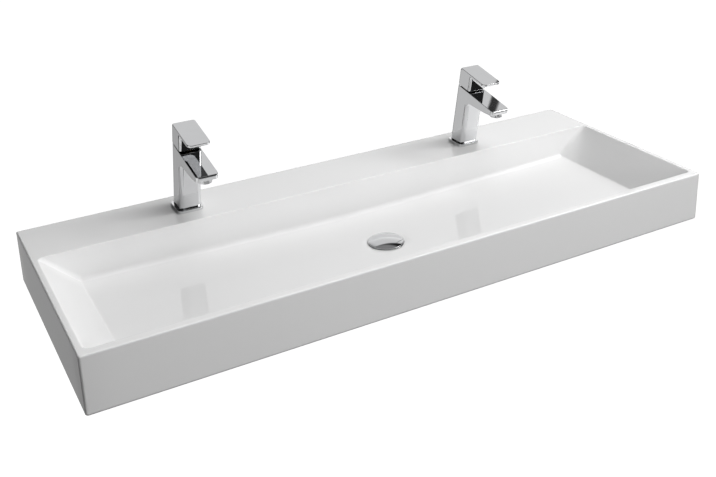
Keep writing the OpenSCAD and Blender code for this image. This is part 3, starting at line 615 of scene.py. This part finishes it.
# %% [markdown]
# ## Turned and plated metals
# Brass nuts come off a lathe with fine rings round their axis. The rings are a sine of the distance
# from that axis. Both taps share one material, so it folds the left tap over the right one with an
# absolute value, and the nearest axis is the smallest of two distances: a tap's, and the waste's.
# Zinc plate on steel breaks up into pale and dark patches with a blue or yellow cast.

# %% Distance from the nearest axis
def from_axis(finish):
    """How far a place is, in metres, from the nearest upright axis of a tap or the waste."""
    x, y, _ = finish.split(finish.place)
    aside = finish.node("Math", {"operation": "ABSOLUTE"}, {0: x}) - TAP_X * MM
    from_tap, from_waste = y - TAP_Y * MM, y - WASTE_Y * MM
    to_tap = (aside * aside + from_tap * from_tap) ** 0.5
    to_waste = (x * x + from_waste * from_waste) ** 0.5
    return finish.node("Math", {"operation": "MINIMUM"}, {0: to_tap, 1: to_waste})


def turned(name, low, high, rough, ring_pitch):
    """Metal with the rings that a lathe leaves, a ring every ring_pitch metres."""
    made = Finish(name, Metallic=1.0)
    angle = from_axis(made) * (math.tau / ring_pitch)
    rings = made.node("Math", {"operation": "SINE"}, {0: angle}) * 0.5 + 0.5
    stain = made.noise(120.0, detail=4.0)
    made.feed(Base_Color=made.blend(stain * 0.8 + rings * 0.2, low, high))
    made.feed(Roughness=rings * 0.12 + stain * 0.1 + rough)
    made.bump(rings, microns=10, strength=0.5)
    print("turned metal:", name)
    return made


brass = turned("turned_brass", (0.52, 0.36, 0.14, 1), (0.74, 0.55, 0.25, 1), 0.16, 0.0004)
steel = turned("bright_steel", grey(0.42, 0.01), grey(0.58, 0.01), 0.14, 0.0003)

# %% Zinc plate on steel
zinc = Finish("zinc_plate", Metallic=1.0)
spangle = zinc.node("TexVoronoi", inputs={"Vector": zinc.place, "Scale": 260.0}, output=1)
shine = zinc.node("SeparateColor", inputs={"Color": spangle})
cast = zinc.noise(70.0, detail=3.0)
BLUE_CAST, YELLOW_CAST = (0.40, 0.43, 0.50, 1), (0.66, 0.66, 0.58, 1)
zinc.feed(Base_Color=zinc.blend(shine * 0.5 + cast * 0.5, BLUE_CAST, YELLOW_CAST))
zinc.feed(Roughness=shine * 0.14 + cast * 0.1 + 0.2)
zinc.bump(zinc.noise(800.0, detail=2.0), microns=10, strength=0.5)
print("zinc:", zinc.material.name)

# %% [markdown]
# ## Rubber, plastic and ceramic discs
# Rubber seals are dull black with a dusting of pale bloom and a fine grain from the mould. Acetal
# is a slippery grey or black plastic with soft flow marks. The cartridge's discs are lapped
# alumina, the hardest and smoothest pieces here: near white, with crossing hairlines from the
# lapping plate.

# %% Rubber
rubber = Finish("black_rubber", IOR=1.5)
bloom = rubber.fade(rubber.noise(150.0, detail=4.0), 0.45, 0.75)
rubber.feed(Base_Color=rubber.blend(bloom, grey(0.018), grey(0.05)))
rubber.feed(Roughness=bloom * 0.2 + 0.55)
rubber.bump(rubber.noise(1500.0, detail=2.0), microns=30, strength=0.6)
print("rubber:", rubber.material.name)


# %% Moulded plastics
def moulded(name, low, high, rough):
    """Plastic with the soft streaks of its flow and a fine spark-eroded grain."""
    made = Finish(name, IOR=1.48)
    streaks = made.node("Mapping", inputs={"Vector": made.place, "Scale": (1.0, 1.0, 4.0)})
    flow = made.node("TexNoise", inputs={"Vector": streaks, "Scale": 55.0, "Detail": 3.0})
    grain = made.node("TexVoronoi", inputs={"Vector": made.place, "Scale": 2200.0})
    made.feed(Base_Color=made.blend(flow, low, high))
    made.feed(Roughness=flow * 0.1 + grain * 0.08 + rough)
    made.bump(grain, microns=10, strength=0.4)
    print("plastic:", name)
    return made


acetal = moulded("grey_acetal", grey(0.30, 0.01), grey(0.40, 0.01), 0.3)
dark_acetal = moulded("black_acetal", grey(0.010), grey(0.022), 0.32)
red = moulded("red_marker", (0.45, 0.015, 0.015, 1), (0.62, 0.03, 0.025, 1), 0.22)

# %% Lapped alumina
alumina = Finish("lapped_alumina", IOR=1.76)
lines = [alumina.node("TexWave", {"bands_direction": direction}, {
    "Vector": alumina.place, "Scale": 900.0, "Distortion": 3.0, "Detail": 2.0}, output=1)
    for direction in ("X", "Y")]
lapping = lines[0] * 0.5 + lines[1] * 0.5
alumina.feed(Base_Color=alumina.blend(alumina.noise(200.0), grey(0.72, -0.02), grey(0.80, -0.02)))
alumina.feed(Roughness=lapping * 0.06 + 0.08)
alumina.bump(lapping, microns=3, strength=0.4)
print("alumina:", alumina.material.name)

# %% Every CAD piece gets its finish
finish_of = {"glaze": glaze, "chrome": chrome, "brass": brass, "steel": steel, "zinc_steel": zinc,
             "rubber": rubber, "plastic": acetal, "dark_plastic": dark_acetal, "disc": alumina,
             "plug_red": red}
slot_of = {part["node"]: part["material_slot"] for part in frame["record"]["subparts"]}
for node, slot in slot_of.items():
    mesh = nodes[node].data
    mesh.materials.clear()
    mesh.materials.append(finish_of[slot].material)
print("pieces dressed:", len(slot_of))

# %% [markdown]
# ## Dressing the basin
# The lofted casting stands for the six CAD regions of the basin, which stay as what a simulation
# touches. It belongs to the root body, as they do. The glaze covers what is seen; the hollow, the
# back and the foot are bare clay, as on the real casting, which stands on them in the kiln. The
# faces are told apart by where they lie and which way they look.

# %% Glaze above, bare clay below and behind
basin.data.materials.append(glaze.material)
basin.data.materials.append(clay.material)
GLAZED, BARE = 0, 1
SLACK, FOOT_BAND, LOOKS_UP, LOOKS_BACK = 0.5, 1.5, 0.35, 0.7
BOWL_ROOM, UNDER_GLAZE, NO_BOWL = 3.0, 4.0, 100.0


def bowl_level(x, y):
    """A height just under the bowl's glazed inside, over a place: what lies lower is outside it."""
    within_y = BOWL_FRONT - BOWL_ROOM < y < BOWL_BACK + BOWL_ROOM
    if not within_y or abs(x) > BOWL_HALF_W + BOWL_ROOM:
        return NO_BOWL
    on_slope = max(abs(x) - FOOT_X, 0.0) * math.tan(END_SLOPE)
    return floor_z(min(abs(x), FOOT_X)) + on_slope - UNDER_GLAZE


def finish_of_face(middle, looks):
    """Glazed or bare, from where a face of the casting lies and which way it looks."""
    behind = looks.y > LOOKS_BACK and middle.y > -2 * SLACK
    under_foot = middle.z < FOOT_Z + FOOT_BAND
    in_hollow = (abs(middle.x) < HOLLOW_X + SLACK and middle.z < HOLLOW_TOP + SLACK
                 and HOLLOW_FRONT - SLACK < middle.y < HOLLOW_BACK + SLACK)
    in_bowl = looks.z > LOOKS_UP or middle.z > bowl_level(middle.x, middle.y)
    return BARE if behind or under_foot or (in_hollow and not in_bowl) else GLAZED


for face in basin.data.polygons:
    face.material_index = finish_of_face(face.center / MM, face.normal)
bare = sum(face.material_index == BARE for face in basin.data.polygons)
place_on(basin, "root", "glaze", "basin_ledge", "basin_back", "basin_front", "basin_sides",
         "basin_slopes", "basin_floor")
print("bare clay faces:", bare, "of", len(basin.data.polygons))

# %% [markdown]
# ## Soft edges on the plated pieces
# A cast tap is ground and polished before it is plated, and plating creeps round every edge, so
# none of them is sharp: each one shows a fine bright or dark line. The CAD edge is a knife's.
# Remodelling the whole piece would risk its fit, so a copy of the CAD mesh gets its loose corners
# merged, its flat triangles joined, and a narrow bevel wherever two faces meet outwards at more
# than 30 degrees. A polishing wheel can't reach into an inner corner, so those stay crisp. Weighted
# normals then keep the flats flat right up to the rounding, which chrome would otherwise give away.

# %% Rounding a copy of a CAD piece
SAME_PLACE = 2 * MICRON
SAME_FLAT, REAL_EDGE = math.radians(1.0), math.radians(30.0)


def soften(node, width, change=None):
    """Rounds the outward edges of a copy of a CAD piece, after any change to its mesh."""
    mesh = nodes[node].data.copy()
    work = bmesh.new()
    work.from_mesh(mesh)
    bmesh.ops.remove_doubles(work, verts=work.verts, dist=SAME_PLACE)
    bmesh.ops.dissolve_limit(work, angle_limit=SAME_FLAT, verts=work.verts, edges=work.edges)
    weight = work.edges.layers.float.new("bevel_weight_edge")
    for edge in work.edges:
        bend = edge.calc_face_angle_signed(0.0)
        edge[weight] = 1.0 if bend > REAL_EDGE else 0.0
        edge.smooth = bend > -REAL_EDGE
    work.to_mesh(mesh)
    work.free()
    if change:
        change(mesh)
    thing = bpy.data.objects.new(node + "_polished", mesh)
    bpy.context.scene.collection.objects.link(thing)
    edges = thing.modifiers.new("edges", "BEVEL")
    edges.limit_method = "WEIGHT"
    edges.width, edges.segments, edges.use_clamp_overlap = width * MM, 3, False
    mesh.shade_smooth()
    flats = thing.modifiers.new("flats", "WEIGHTED_NORMAL")
    flats.mode, flats.weight, flats.keep_sharp = "FACE_AREA", 50, True
    settle(thing)
    place_on(thing, body_of(nodes[node])[0], slot_of[node], node)


# %% The two taps' plated pieces
SIDES = ("left_", "right_")
ROUNDING = {"tap_body": 0.7, "base_ring": 0.6, "lever": 0.7, "aerator_ring": 0.4}
for side in SIDES:
    for piece, width in ROUNDING.items():
        soften(side + piece, width)

# %% [markdown]
# ## Recipes for what repeats
# A thread is one small ridge wound many times, and an outlet's honeycomb is one cell repeated. Both
# follow a rule, so Geometry Nodes make them: the rule is written once with named inputs, and each
# piece fills in its own sizes. The class below builds such a recipe in the same words as a
# material, so that the sums in it read as sums.

# %% A class for recipes
class Recipe(Tree):
    """A Geometry Nodes tree in the making. Its inputs are named sizes in metres."""

    def __init__(self, name, **sizes):
        super().__init__(bpy.data.node_groups.new(name, "GeometryNodeTree"))
        sockets = self.tree.interface
        sockets.new_socket("Geometry", in_out="OUTPUT", socket_type="NodeSocketGeometry")
        for size, kind in sizes.items():
            sockets.new_socket(size, in_out="INPUT", socket_type="NodeSocket" + kind)
        self.given = self.tree.nodes.new("NodeGroupInput")

    def full_name(self, kind):
        shared = ("Math", "VectorMath", "SeparateXYZ", "CombineXYZ")
        return ("ShaderNode" if kind in shared else "GeometryNode") + kind

    def size(self, name):
        return Value(self, self.given.outputs[name])

    def ends_as(self, geometry):
        """Every recipe ends as real mesh with its own finish on it."""
        real = self.node("RealizeInstances", inputs={"Geometry": geometry})
        finish = self.size("Finish")
        dressed = self.node("SetMaterial", inputs={"Geometry": real, "Material": finish})
        out = self.tree.nodes.new("NodeGroupOutput")
        self.tree.links.new(dressed.socket, out.inputs[0])


def grow(name, recipe, **sizes):
    """A new object made by a recipe and settled into plain mesh."""
    thing = skin(name, [], [])
    work = thing.modifiers.new("recipe", "NODES")
    work.node_group = recipe.tree
    for item in recipe.tree.interface.items_tree:
        if item.in_out == "INPUT":
            work[item.identifier] = sizes[item.name]
    settle(thing)
    print(name, "grown:", len(thing.data.polygons), "faces")
    return thing


def joined(thing, *others):
    """Puts other pieces' faces into this one. All have the same finish."""
    work = bmesh.new()
    work.from_mesh(thing.data)
    for other in others:
        work.from_mesh(other.data)
    work.to_mesh(thing.data)
    work.free()
    for other in others:
        bpy.data.objects.remove(other)
    return thing


print("recipes are made by:", Recipe.__name__)

# %% [markdown]
# ## The thread recipe
# A screw thread is a ridge with sloping flanks on a slightly thinner core. A spiral curve carries a
# four-sided profile whose corner points outwards, which gives the flanks. Cutting the thread into a
# bar with a boolean would take far longer and leave a ragged mesh.

# %% The thread recipe
thread = Recipe("thread", Radius="Float", Pitch="Float", Turns="Float", Ridge="Float", Points="Int",
                Place="Vector", Finish="Material")
spiral = thread.node("CurveSpiral", inputs={
    "Resolution": thread.size("Points"), "Rotations": thread.size("Turns"),
    "Start Radius": thread.size("Radius"), "End Radius": thread.size("Radius"),
    "Height": thread.size("Pitch") * thread.size("Turns")})
upright = thread.node("SetCurveNormal", {"mode": "Z_UP"}, {"Curve": spiral})
profile = thread.node("CurvePrimitiveCircle", inputs={
    "Resolution": 4, "Radius": thread.size("Ridge")})
ridge = thread.node("CurveToMesh", inputs={"Curve": upright, "Profile Curve": profile,
                                           "Fill Caps": True})
thread.ends_as(thread.node("Transform", inputs={
    "Geometry": ridge, "Translation": thread.size("Place")}))
FINE_EDGE = 20.0
print("thread recipe:", len(thread.tree.nodes), "nodes")

# %% [markdown]
# ## The waste's domed cap
# The cap is spun from brass sheet and turned, so it is perfectly round and its dome shows the whole
# studio. Facets would break those reflections, so it is turned here too: a profile from the middle
# of the dome over its rolled rim, across the underside with its seal groove and its boss, and into
# the plunger's hole. A lathe of 192 steps with exact rings gives a smooth dome.

# %% A lathe
ON_AXIS = 0.000001


def lathe(name, profile, axis, steps):
    """Turns a profile of (radius, height) about an upright axis, and closes both its ends."""
    corners, faces, rows = [], [], []
    for reach, height in profile:
        count = 1 if reach < ON_AXIS else steps
        rows.append((len(corners), count))
        for k in range(count):
            angle = math.tau * k / steps
            corners.append((axis[0] + reach * math.cos(angle),
                            axis[1] + reach * math.sin(angle), height))
    for (low, low_count), (high, high_count) in zip(rows, rows[1:]):
        for k in range(steps):
            after = (k + 1) % steps
            loop = [low + k % low_count, low + after % low_count,
                    high + after % high_count, high + k % high_count]
            faces.append(tuple(dict.fromkeys(loop)))
    for (first, count), flip in ((rows[0], True), (rows[-1], False)):
        if count > 1:
            end = list(range(first, first + count))
            faces.append(tuple(reversed(end) if flip else end))
    return skin(name, corners, faces)


def rounded(corner, before, after, radius):
    """Points of a small arc in place of a profile's corner."""
    corner, before, after = Vector(corner), Vector(before), Vector(after)
    to_first, to_last = (before - corner).normalized(), (after - corner).normalized()
    opening = to_first.angle(to_last)
    middle = corner + (to_first + to_last).normalized() * (radius / math.sin(opening / 2))
    first = corner + to_first * (radius / math.tan(opening / 2)) - middle
    last = corner + to_last * (radius / math.tan(opening / 2)) - middle
    return [tuple(middle + first.lerp(last, k / ARC_STEPS).normalized() * radius)
            for k in range(ARC_STEPS + 1)]


print("turned and rounded by:", lathe.__name__, rounded.__name__)

# %% The cap's profile
low, high = (Vector(corner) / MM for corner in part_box("waste_cap"))
cap_r = (high.x - low.x) / 2
top_z, boss_z = high.z, low.z
CAP_STEPS, DOME_POINTS = 192, 40
RISE, RIM_T = 5.0, 1.2
RIM_ROUND, LOWER_ROUND = 0.45, 0.35
GROOVE_OUT, GROOVE_IN, GROOVE_DEEP = 30.85, 28.65, 1.4
BOSS_R, SOCKET_R, SOCKET_DEEP = 9.0, 6.05, 2.5
under_z = top_z - RISE - RIM_T
dome_r = (cap_r ** 2 + RISE ** 2) / (2 * RISE)


def dome_z(reach):
    return top_z + math.sqrt(dome_r ** 2 - reach ** 2) - dome_r


reaches = [cap_r * k / DOME_POINTS for k in range(DOME_POINTS - 1)]
dome = [(reach, dome_z(reach)) for reach in reaches]
rim = rounded((cap_r, under_z + RIM_T), dome[-1], (cap_r, under_z), RIM_ROUND)
lower_rim = rounded((cap_r, under_z), (cap_r, under_z + RIM_T), (GROOVE_OUT, under_z), LOWER_ROUND)
under = [(GROOVE_OUT, under_z), (GROOVE_OUT, under_z + GROOVE_DEEP),
         (GROOVE_IN, under_z + GROOVE_DEEP), (GROOVE_IN, under_z), (BOSS_R, under_z),
         (BOSS_R, boss_z), (SOCKET_R, boss_z), (SOCKET_R, under_z + SOCKET_DEEP),
         (0.0, under_z + SOCKET_DEEP)]
print("points of the profile:", len(dome + rim + lower_rim + under))

# %% The cap
cap = lathe("waste_cap_turned", (dome + rim + lower_rim + under)[::-1], (0.0, WASTE_Y), CAP_STEPS)
cap.data.materials.append(chrome.material)
place_on(smooth(cap, 30.0), "waste_plug", "chrome", "waste_cap")

# %% [markdown]
# ## The waste's threaded tail
# The tail carries a coarse pipe thread, 11 turns to the inch, for the trap's nut. The CAD draws it
# as a plain bar of the crest's diameter. On a copy of that piece the bar is turned down to the
# thread's core, and the ridge is wound on it, so the crests lie where the CAD's surface was.

# %% The tail turned down
CREST_R, CORE_R = 20.955, 19.455
TAIL_LOW, TAIL_HIGH = -101.0, -65.0
SLACK_R, SLACK_Z = 0.02, 0.01


def turn_down(mesh):
    """Moves the tail's outer skin in, from the thread's crests to its core."""
    moved = 0
    for corner in mesh.vertices:
        x, y, z = corner.co / MM
        reach = math.hypot(x, y - WASTE_Y)
        if TAIL_LOW - SLACK_Z < z < TAIL_HIGH + SLACK_Z and abs(reach - CREST_R) < SLACK_R:
            share = CORE_R / reach
            corner.co = Vector((x * share, WASTE_Y + (y - WASTE_Y) * share, z)) * MM
            moved += 1
    print("tail corners turned down:", moved)


soften("waste_body", 0.35, change=turn_down)

# %% The tail's thread
PIPE_PITCH, PIPE_RIDGE, PLAIN_END = 2.309, 1.15, 1.5
turns = math.floor((TAIL_HIGH - TAIL_LOW - 2 * PLAIN_END) / PIPE_PITCH)
wound = grow("waste_thread", thread, Radius=(CREST_R - PIPE_RIDGE) * MM, Pitch=PIPE_PITCH * MM,
             Turns=float(turns), Ridge=PIPE_RIDGE * MM, Points=64,
             Place=Vector((0, WASTE_Y, TAIL_LOW + PLAIN_END)) * MM, Finish=chrome.material)
place_on(smooth(wound, FINE_EDGE), "root", "chrome")
soften("waste_backnut", 0.5)

# %% [markdown]
# ## The taps' fixing studs
# Each tap is pulled down on the ledge by one M8 stud of plated steel, threaded all along. Here the
# whole piece is new: a core with tapered ends, lofted ring by ring, and the thread wound on it.

# %% The studs
STUD_PITCH, STUD_RIDGE, ROOT_DEPTH, TAPER, STUD_END = 1.25, 0.58, 0.696, 0.9, 1.2
for side in SIDES:
    low, high = (Vector(corner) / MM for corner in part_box(side + "fixing_stud"))
    middle, crest = (low + high) / 2, (high.x - low.x) / 2
    root = crest - ROOT_DEPTH
    outline = [(root - TAPER, low.z), (root, low.z + TAPER), (root, high.z - TAPER),
               (root - TAPER, high.z)]
    core = lathe(side + "stud", outline, (middle.x, middle.y), 32)
    core.data.materials.append(zinc.material)
    turns = math.floor((high.z - low.z - 2 * STUD_END) / STUD_PITCH)
    wound = grow("ridge", thread, Radius=(crest - STUD_RIDGE) * MM, Pitch=STUD_PITCH * MM,
                 Turns=float(turns), Ridge=STUD_RIDGE * MM, Points=24,
                 Place=Vector((middle.x, middle.y, low.z + STUD_END)) * MM, Finish=zinc.material)
    smooth(joined(core, wound), FINE_EDGE)
    place_on(core, "root", "zinc_steel", side + "fixing_stud")

# %% [markdown]
# ## The honeycomb in the outlets
# Under a tap's outlet one sees a grid of small six-sided cells, which makes the water fall
# straight. One cell's wall is made from a six-sided curve, and it is set on every point of a grid
# whose alternate rows are shifted by half a cell. Points outside the round insert are taken away.

# %% The honeycomb recipe
comb = Recipe("honeycomb", Reach="Float", Cell="Float", Wall="Float", Place="Vector",
              Finish="Material")
ROWS = 15
# In cell widths: the distance between rows of hexagons, and from a hexagon's middle to its corner.
ROW_STEP, CORNER_REACH = 0.866, 0.577
WALL_HEIGHT = 2.0
row_step = comb.size("Cell") * ROW_STEP
dots = comb.node("MeshGrid", inputs={"Size X": comb.size("Cell") * (ROWS - 1), "Vertices X": ROWS,
                                     "Size Y": row_step * (ROWS - 1), "Vertices Y": ROWS})
_, row_y, _ = comb.split(comb.node("InputPosition"))
row_number = comb.node("Math", {"operation": "ROUND"}, {0: row_y / row_step})
odd = comb.node("Math", {"operation": "PINGPONG"}, {0: row_number, 1: 1.0})
shift = comb.node("CombineXYZ", inputs={"X": odd * comb.size("Cell") * 0.5})
staggered = comb.node("SetPosition", inputs={"Geometry": dots, "Offset": shift})
away = comb.node("VectorMath", {"operation": "LENGTH"}, {0: comb.node("InputPosition")}, output=1)
outside = comb.node("Math", {"operation": "GREATER_THAN"}, {0: away, 1: comb.size("Reach")})
kept = comb.node("DeleteGeometry", {"domain": "POINT"}, {
    "Geometry": staggered, "Selection": outside})
hexagon = comb.node("CurvePrimitiveCircle", inputs={
    "Resolution": 6, "Radius": comb.size("Cell") * CORNER_REACH})
cell_edge = comb.node("SetCurveNormal", {"mode": "Z_UP"}, {"Curve": hexagon})
wall_profile = comb.node("CurvePrimitiveQuadrilateral", inputs={
    "Width": comb.size("Wall"), "Height": comb.size("Wall") * WALL_HEIGHT})
cell = comb.node("CurveToMesh", inputs={"Curve": cell_edge, "Profile Curve": wall_profile})
cells = comb.node("InstanceOnPoints", inputs={"Points": kept, "Instance": cell})
comb.ends_as(comb.node("Transform", inputs={"Geometry": cells, "Translation": comb.size("Place")}))
print("honeycomb recipe:", len(comb.tree.nodes), "nodes")

# %% The two honeycombs
CELL, CELL_WALL, COMB_MARGIN, COMB_BELOW = 1.6, 0.22, 1.1, 0.2
for side in SIDES:
    low, high = (Vector(corner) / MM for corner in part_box(side + "aerator_insert"))
    reach, middle = (high.x - low.x) / 2, (low + high) / 2
    grid = grow(side + "honeycomb", comb, Reach=(reach - COMB_MARGIN) * MM, Cell=CELL * MM,
                Wall=CELL_WALL * MM, Place=Vector((middle.x, middle.y, low.z - COMB_BELOW)) * MM,
                Finish=dark_acetal.material)
    place_on(smooth(grid, FINE_EDGE), "root", "dark_plastic")

# %% [markdown]
# ## Floor and studio
# The photograph is a catalogue picture: the basin stands clear of everything on plain white, and a
# big soft light from the right and above shapes it. A white floor that glows keeps the ground
# plain. It lies three metres down, so that the underside can be looked at from below as well. It is
# hidden from the glaze's and the chrome's own rays, so that it doesn't light the basin from below,
# as a cut-out ground wouldn't either.

# %% The pale floor
scene = bpy.context.scene
scene.view_settings.view_transform = "Standard"
FLOOR_REACH, FLOOR_Z = 80000, -3000
floor = skin("floor", [(x * FLOOR_REACH, y * FLOOR_REACH, FLOOR_Z) for x, y in
                       ((-1, -1), (1, -1), (1, 1), (-1, 1))], [(0, 1, 2, 3)])
paint = Finish("pale_floor", Roughness=0.9, Emission_Strength=1.0)
paint.feed(Base_Color=paint.blend(paint.noise(2.0), grey(0.5), grey(0.52)))
paint.feed(Emission_Color=paint.blend(paint.noise(1.5), grey(0.97), grey(1.0)))
floor.data.materials.append(paint.material)
floor.visible_diffuse = floor.visible_glossy = False
print("floor lies at mm:", FLOOR_Z)

# %% [markdown]
# ## The room that chrome shows
# Chrome shows the room, so the room matters more than the lamps. It is painted on the world as a
# brightness for each direction, which is quicker to adjust than real walls and gives no noise. What
# the taps and the dome show in the photograph told where each thing has to be: a tall pale screen
# behind with soft cloth edges and a slanted right side, a thin stand in front of it, a dim ceiling,
# a grey floor, a faint glow at eye level in front, and a black cloth low on the left. The slanted
# side makes the dark crescent on the waste's dome, the stand the dark bar on the right spout, and
# the cloth the columns' dark outlines. Only reflections and light see this room: looked at
# straight, the world is the white of the floor.

# %% A brightness for each direction
world = bpy.data.worlds.new("studio")
scene.world = world
world.use_nodes = True
room = Tree(world.node_tree)
across, behind, up = room.split(room.node("TexCoord", output="Generated"))
above = room.fade(up, -0.05, 0.02)
overhead = room.fade(up, 0.72, 0.80)
print("looking out by:", "across, behind, up")

# %% The screen and the stand before it
SCREEN_LEAN, LEAN_FROM = 0.8, 0.6
SCREEN_SIDE = (0.46, 0.56)
STAND_LEFT, STAND_RIGHT = (0.981, 0.989), (1.004, 1.012)
SCREEN_BRIGHT, SCREEN_FALL, STAND_DARK = 0.95, 0.25, 0.97

side_edge = behind - (up - LEAN_FROM) * SCREEN_LEAN
cloth_of_screen = room.fade(across, -0.05, 0.20) * room.fade(side_edge, *SCREEN_SIDE)
screen = cloth_of_screen * above * (1.0 - overhead)
aside = across / behind
stand = room.fade(aside, *STAND_LEFT) * (1.0 - room.fade(aside, *STAND_RIGHT))
paler_below = SCREEN_BRIGHT - room.fade(up, 0.3, 0.6) * SCREEN_FALL
screen = screen * (1.0 - stand * STAND_DARK) * paler_below
print("screen's leaning side:", SCREEN_SIDE, "stand:", STAND_LEFT, STAND_RIGHT)

# %% The ground, the cloth on the left, the ceiling and what stands in front
GROUND, LEFT_GROUND, LEAST_GROUND, LEAST = 0.36, 0.17, 0.06, 0.02
CLOTH_DARK, CEILING, IN_FRONT = 0.95, 0.22, 0.3

in_shade = room.fade(across, 0.0, 0.15) * room.fade(behind, 0.3, 0.6)
ground = room.fade(behind, -0.5, 0.3) * (1.0 - in_shade) * GROUND
left_ground = room.fade(behind, 0.2, 0.5) * (1.0 - room.fade(across, -0.55, -0.30)) * LEFT_GROUND
cloth = (1.0 - room.fade(across, -0.64, -0.56)) * CLOTH_DARK
below = (1.0 - above) * (1.0 - cloth) * (ground + left_ground + LEAST_GROUND)
ceiling = overhead * room.fade(behind, -0.3, 0.0) * (1.0 - room.fade(across, 0.5, 0.65)) * CEILING
near_level = room.fade(up, -0.1, 0.0) * (1.0 - room.fade(up, 0.15, 0.25))
in_front = (1.0 - room.fade(behind, -0.9, -0.75)) * near_level * IN_FRONT
print("brightness of ground, ceiling and front:", GROUND, CEILING, IN_FRONT)

# %% The sum of them, for all but the camera's own rays
shown = screen + below + ceiling + in_front + LEAST
straight = room.node("LightPath", output="Is Camera Ray")
strength = shown * (1.0 - straight) + straight
room.node("OutputWorld", inputs={"Surface": room.node(
    "Background", inputs={"Color": (1, 1, 1, 1), "Strength": strength})})
print("world nodes:", len(room.tree.nodes))

# %% [markdown]
# ## The lamps
# A big soft light from the right and a little in front shapes the white basin, as in the
# photograph. It is split into two softboxes whose places and powers were fitted to the greys of the
# rims, walls and floor. The other three only fill the shade. They would show as bright squares in
# the glaze, so they are hidden from reflections.

# %% The lamps
def softbox(name, place, target, size, watts, shows):
    """A flat lamp aimed at a target, in metres. It is kept out of reflections unless it shows."""
    lamp = bpy.data.lights.new(name, "AREA")
    lamp.shape = "RECTANGLE"
    lamp.size, lamp.size_y = size
    lamp.energy = watts
    thing = bpy.data.objects.new(name, lamp)
    scene.collection.objects.link(thing)
    thing.location = place
    thing.rotation_euler = (Vector(target) - Vector(place)).to_track_quat("-Z", "Y").to_euler()
    thing.visible_glossy = shows


BOWL = (0.1, -0.2, 0)
softbox("key", (3.0, -1.3, 2.6), BOWL, (0.9, 1.6), 48, True)
softbox("key_in_front", (2.3, -1.9, 2.6), BOWL, (1.6, 1.6), 19, True)
softbox("front", (0.4, -2.6, 0.5), (0.0, -0.4, 0), (1.4, 0.6), 19, False)
softbox("top", (0.6, -1.2, 2.4), (0.2, -0.3, 0), (1.6, 1.6), 42, False)
softbox("left_fill", (-2.2, 0.6, -0.6), (-0.6, -0.2, 0.0), (1.6, 1.2), 3, False)
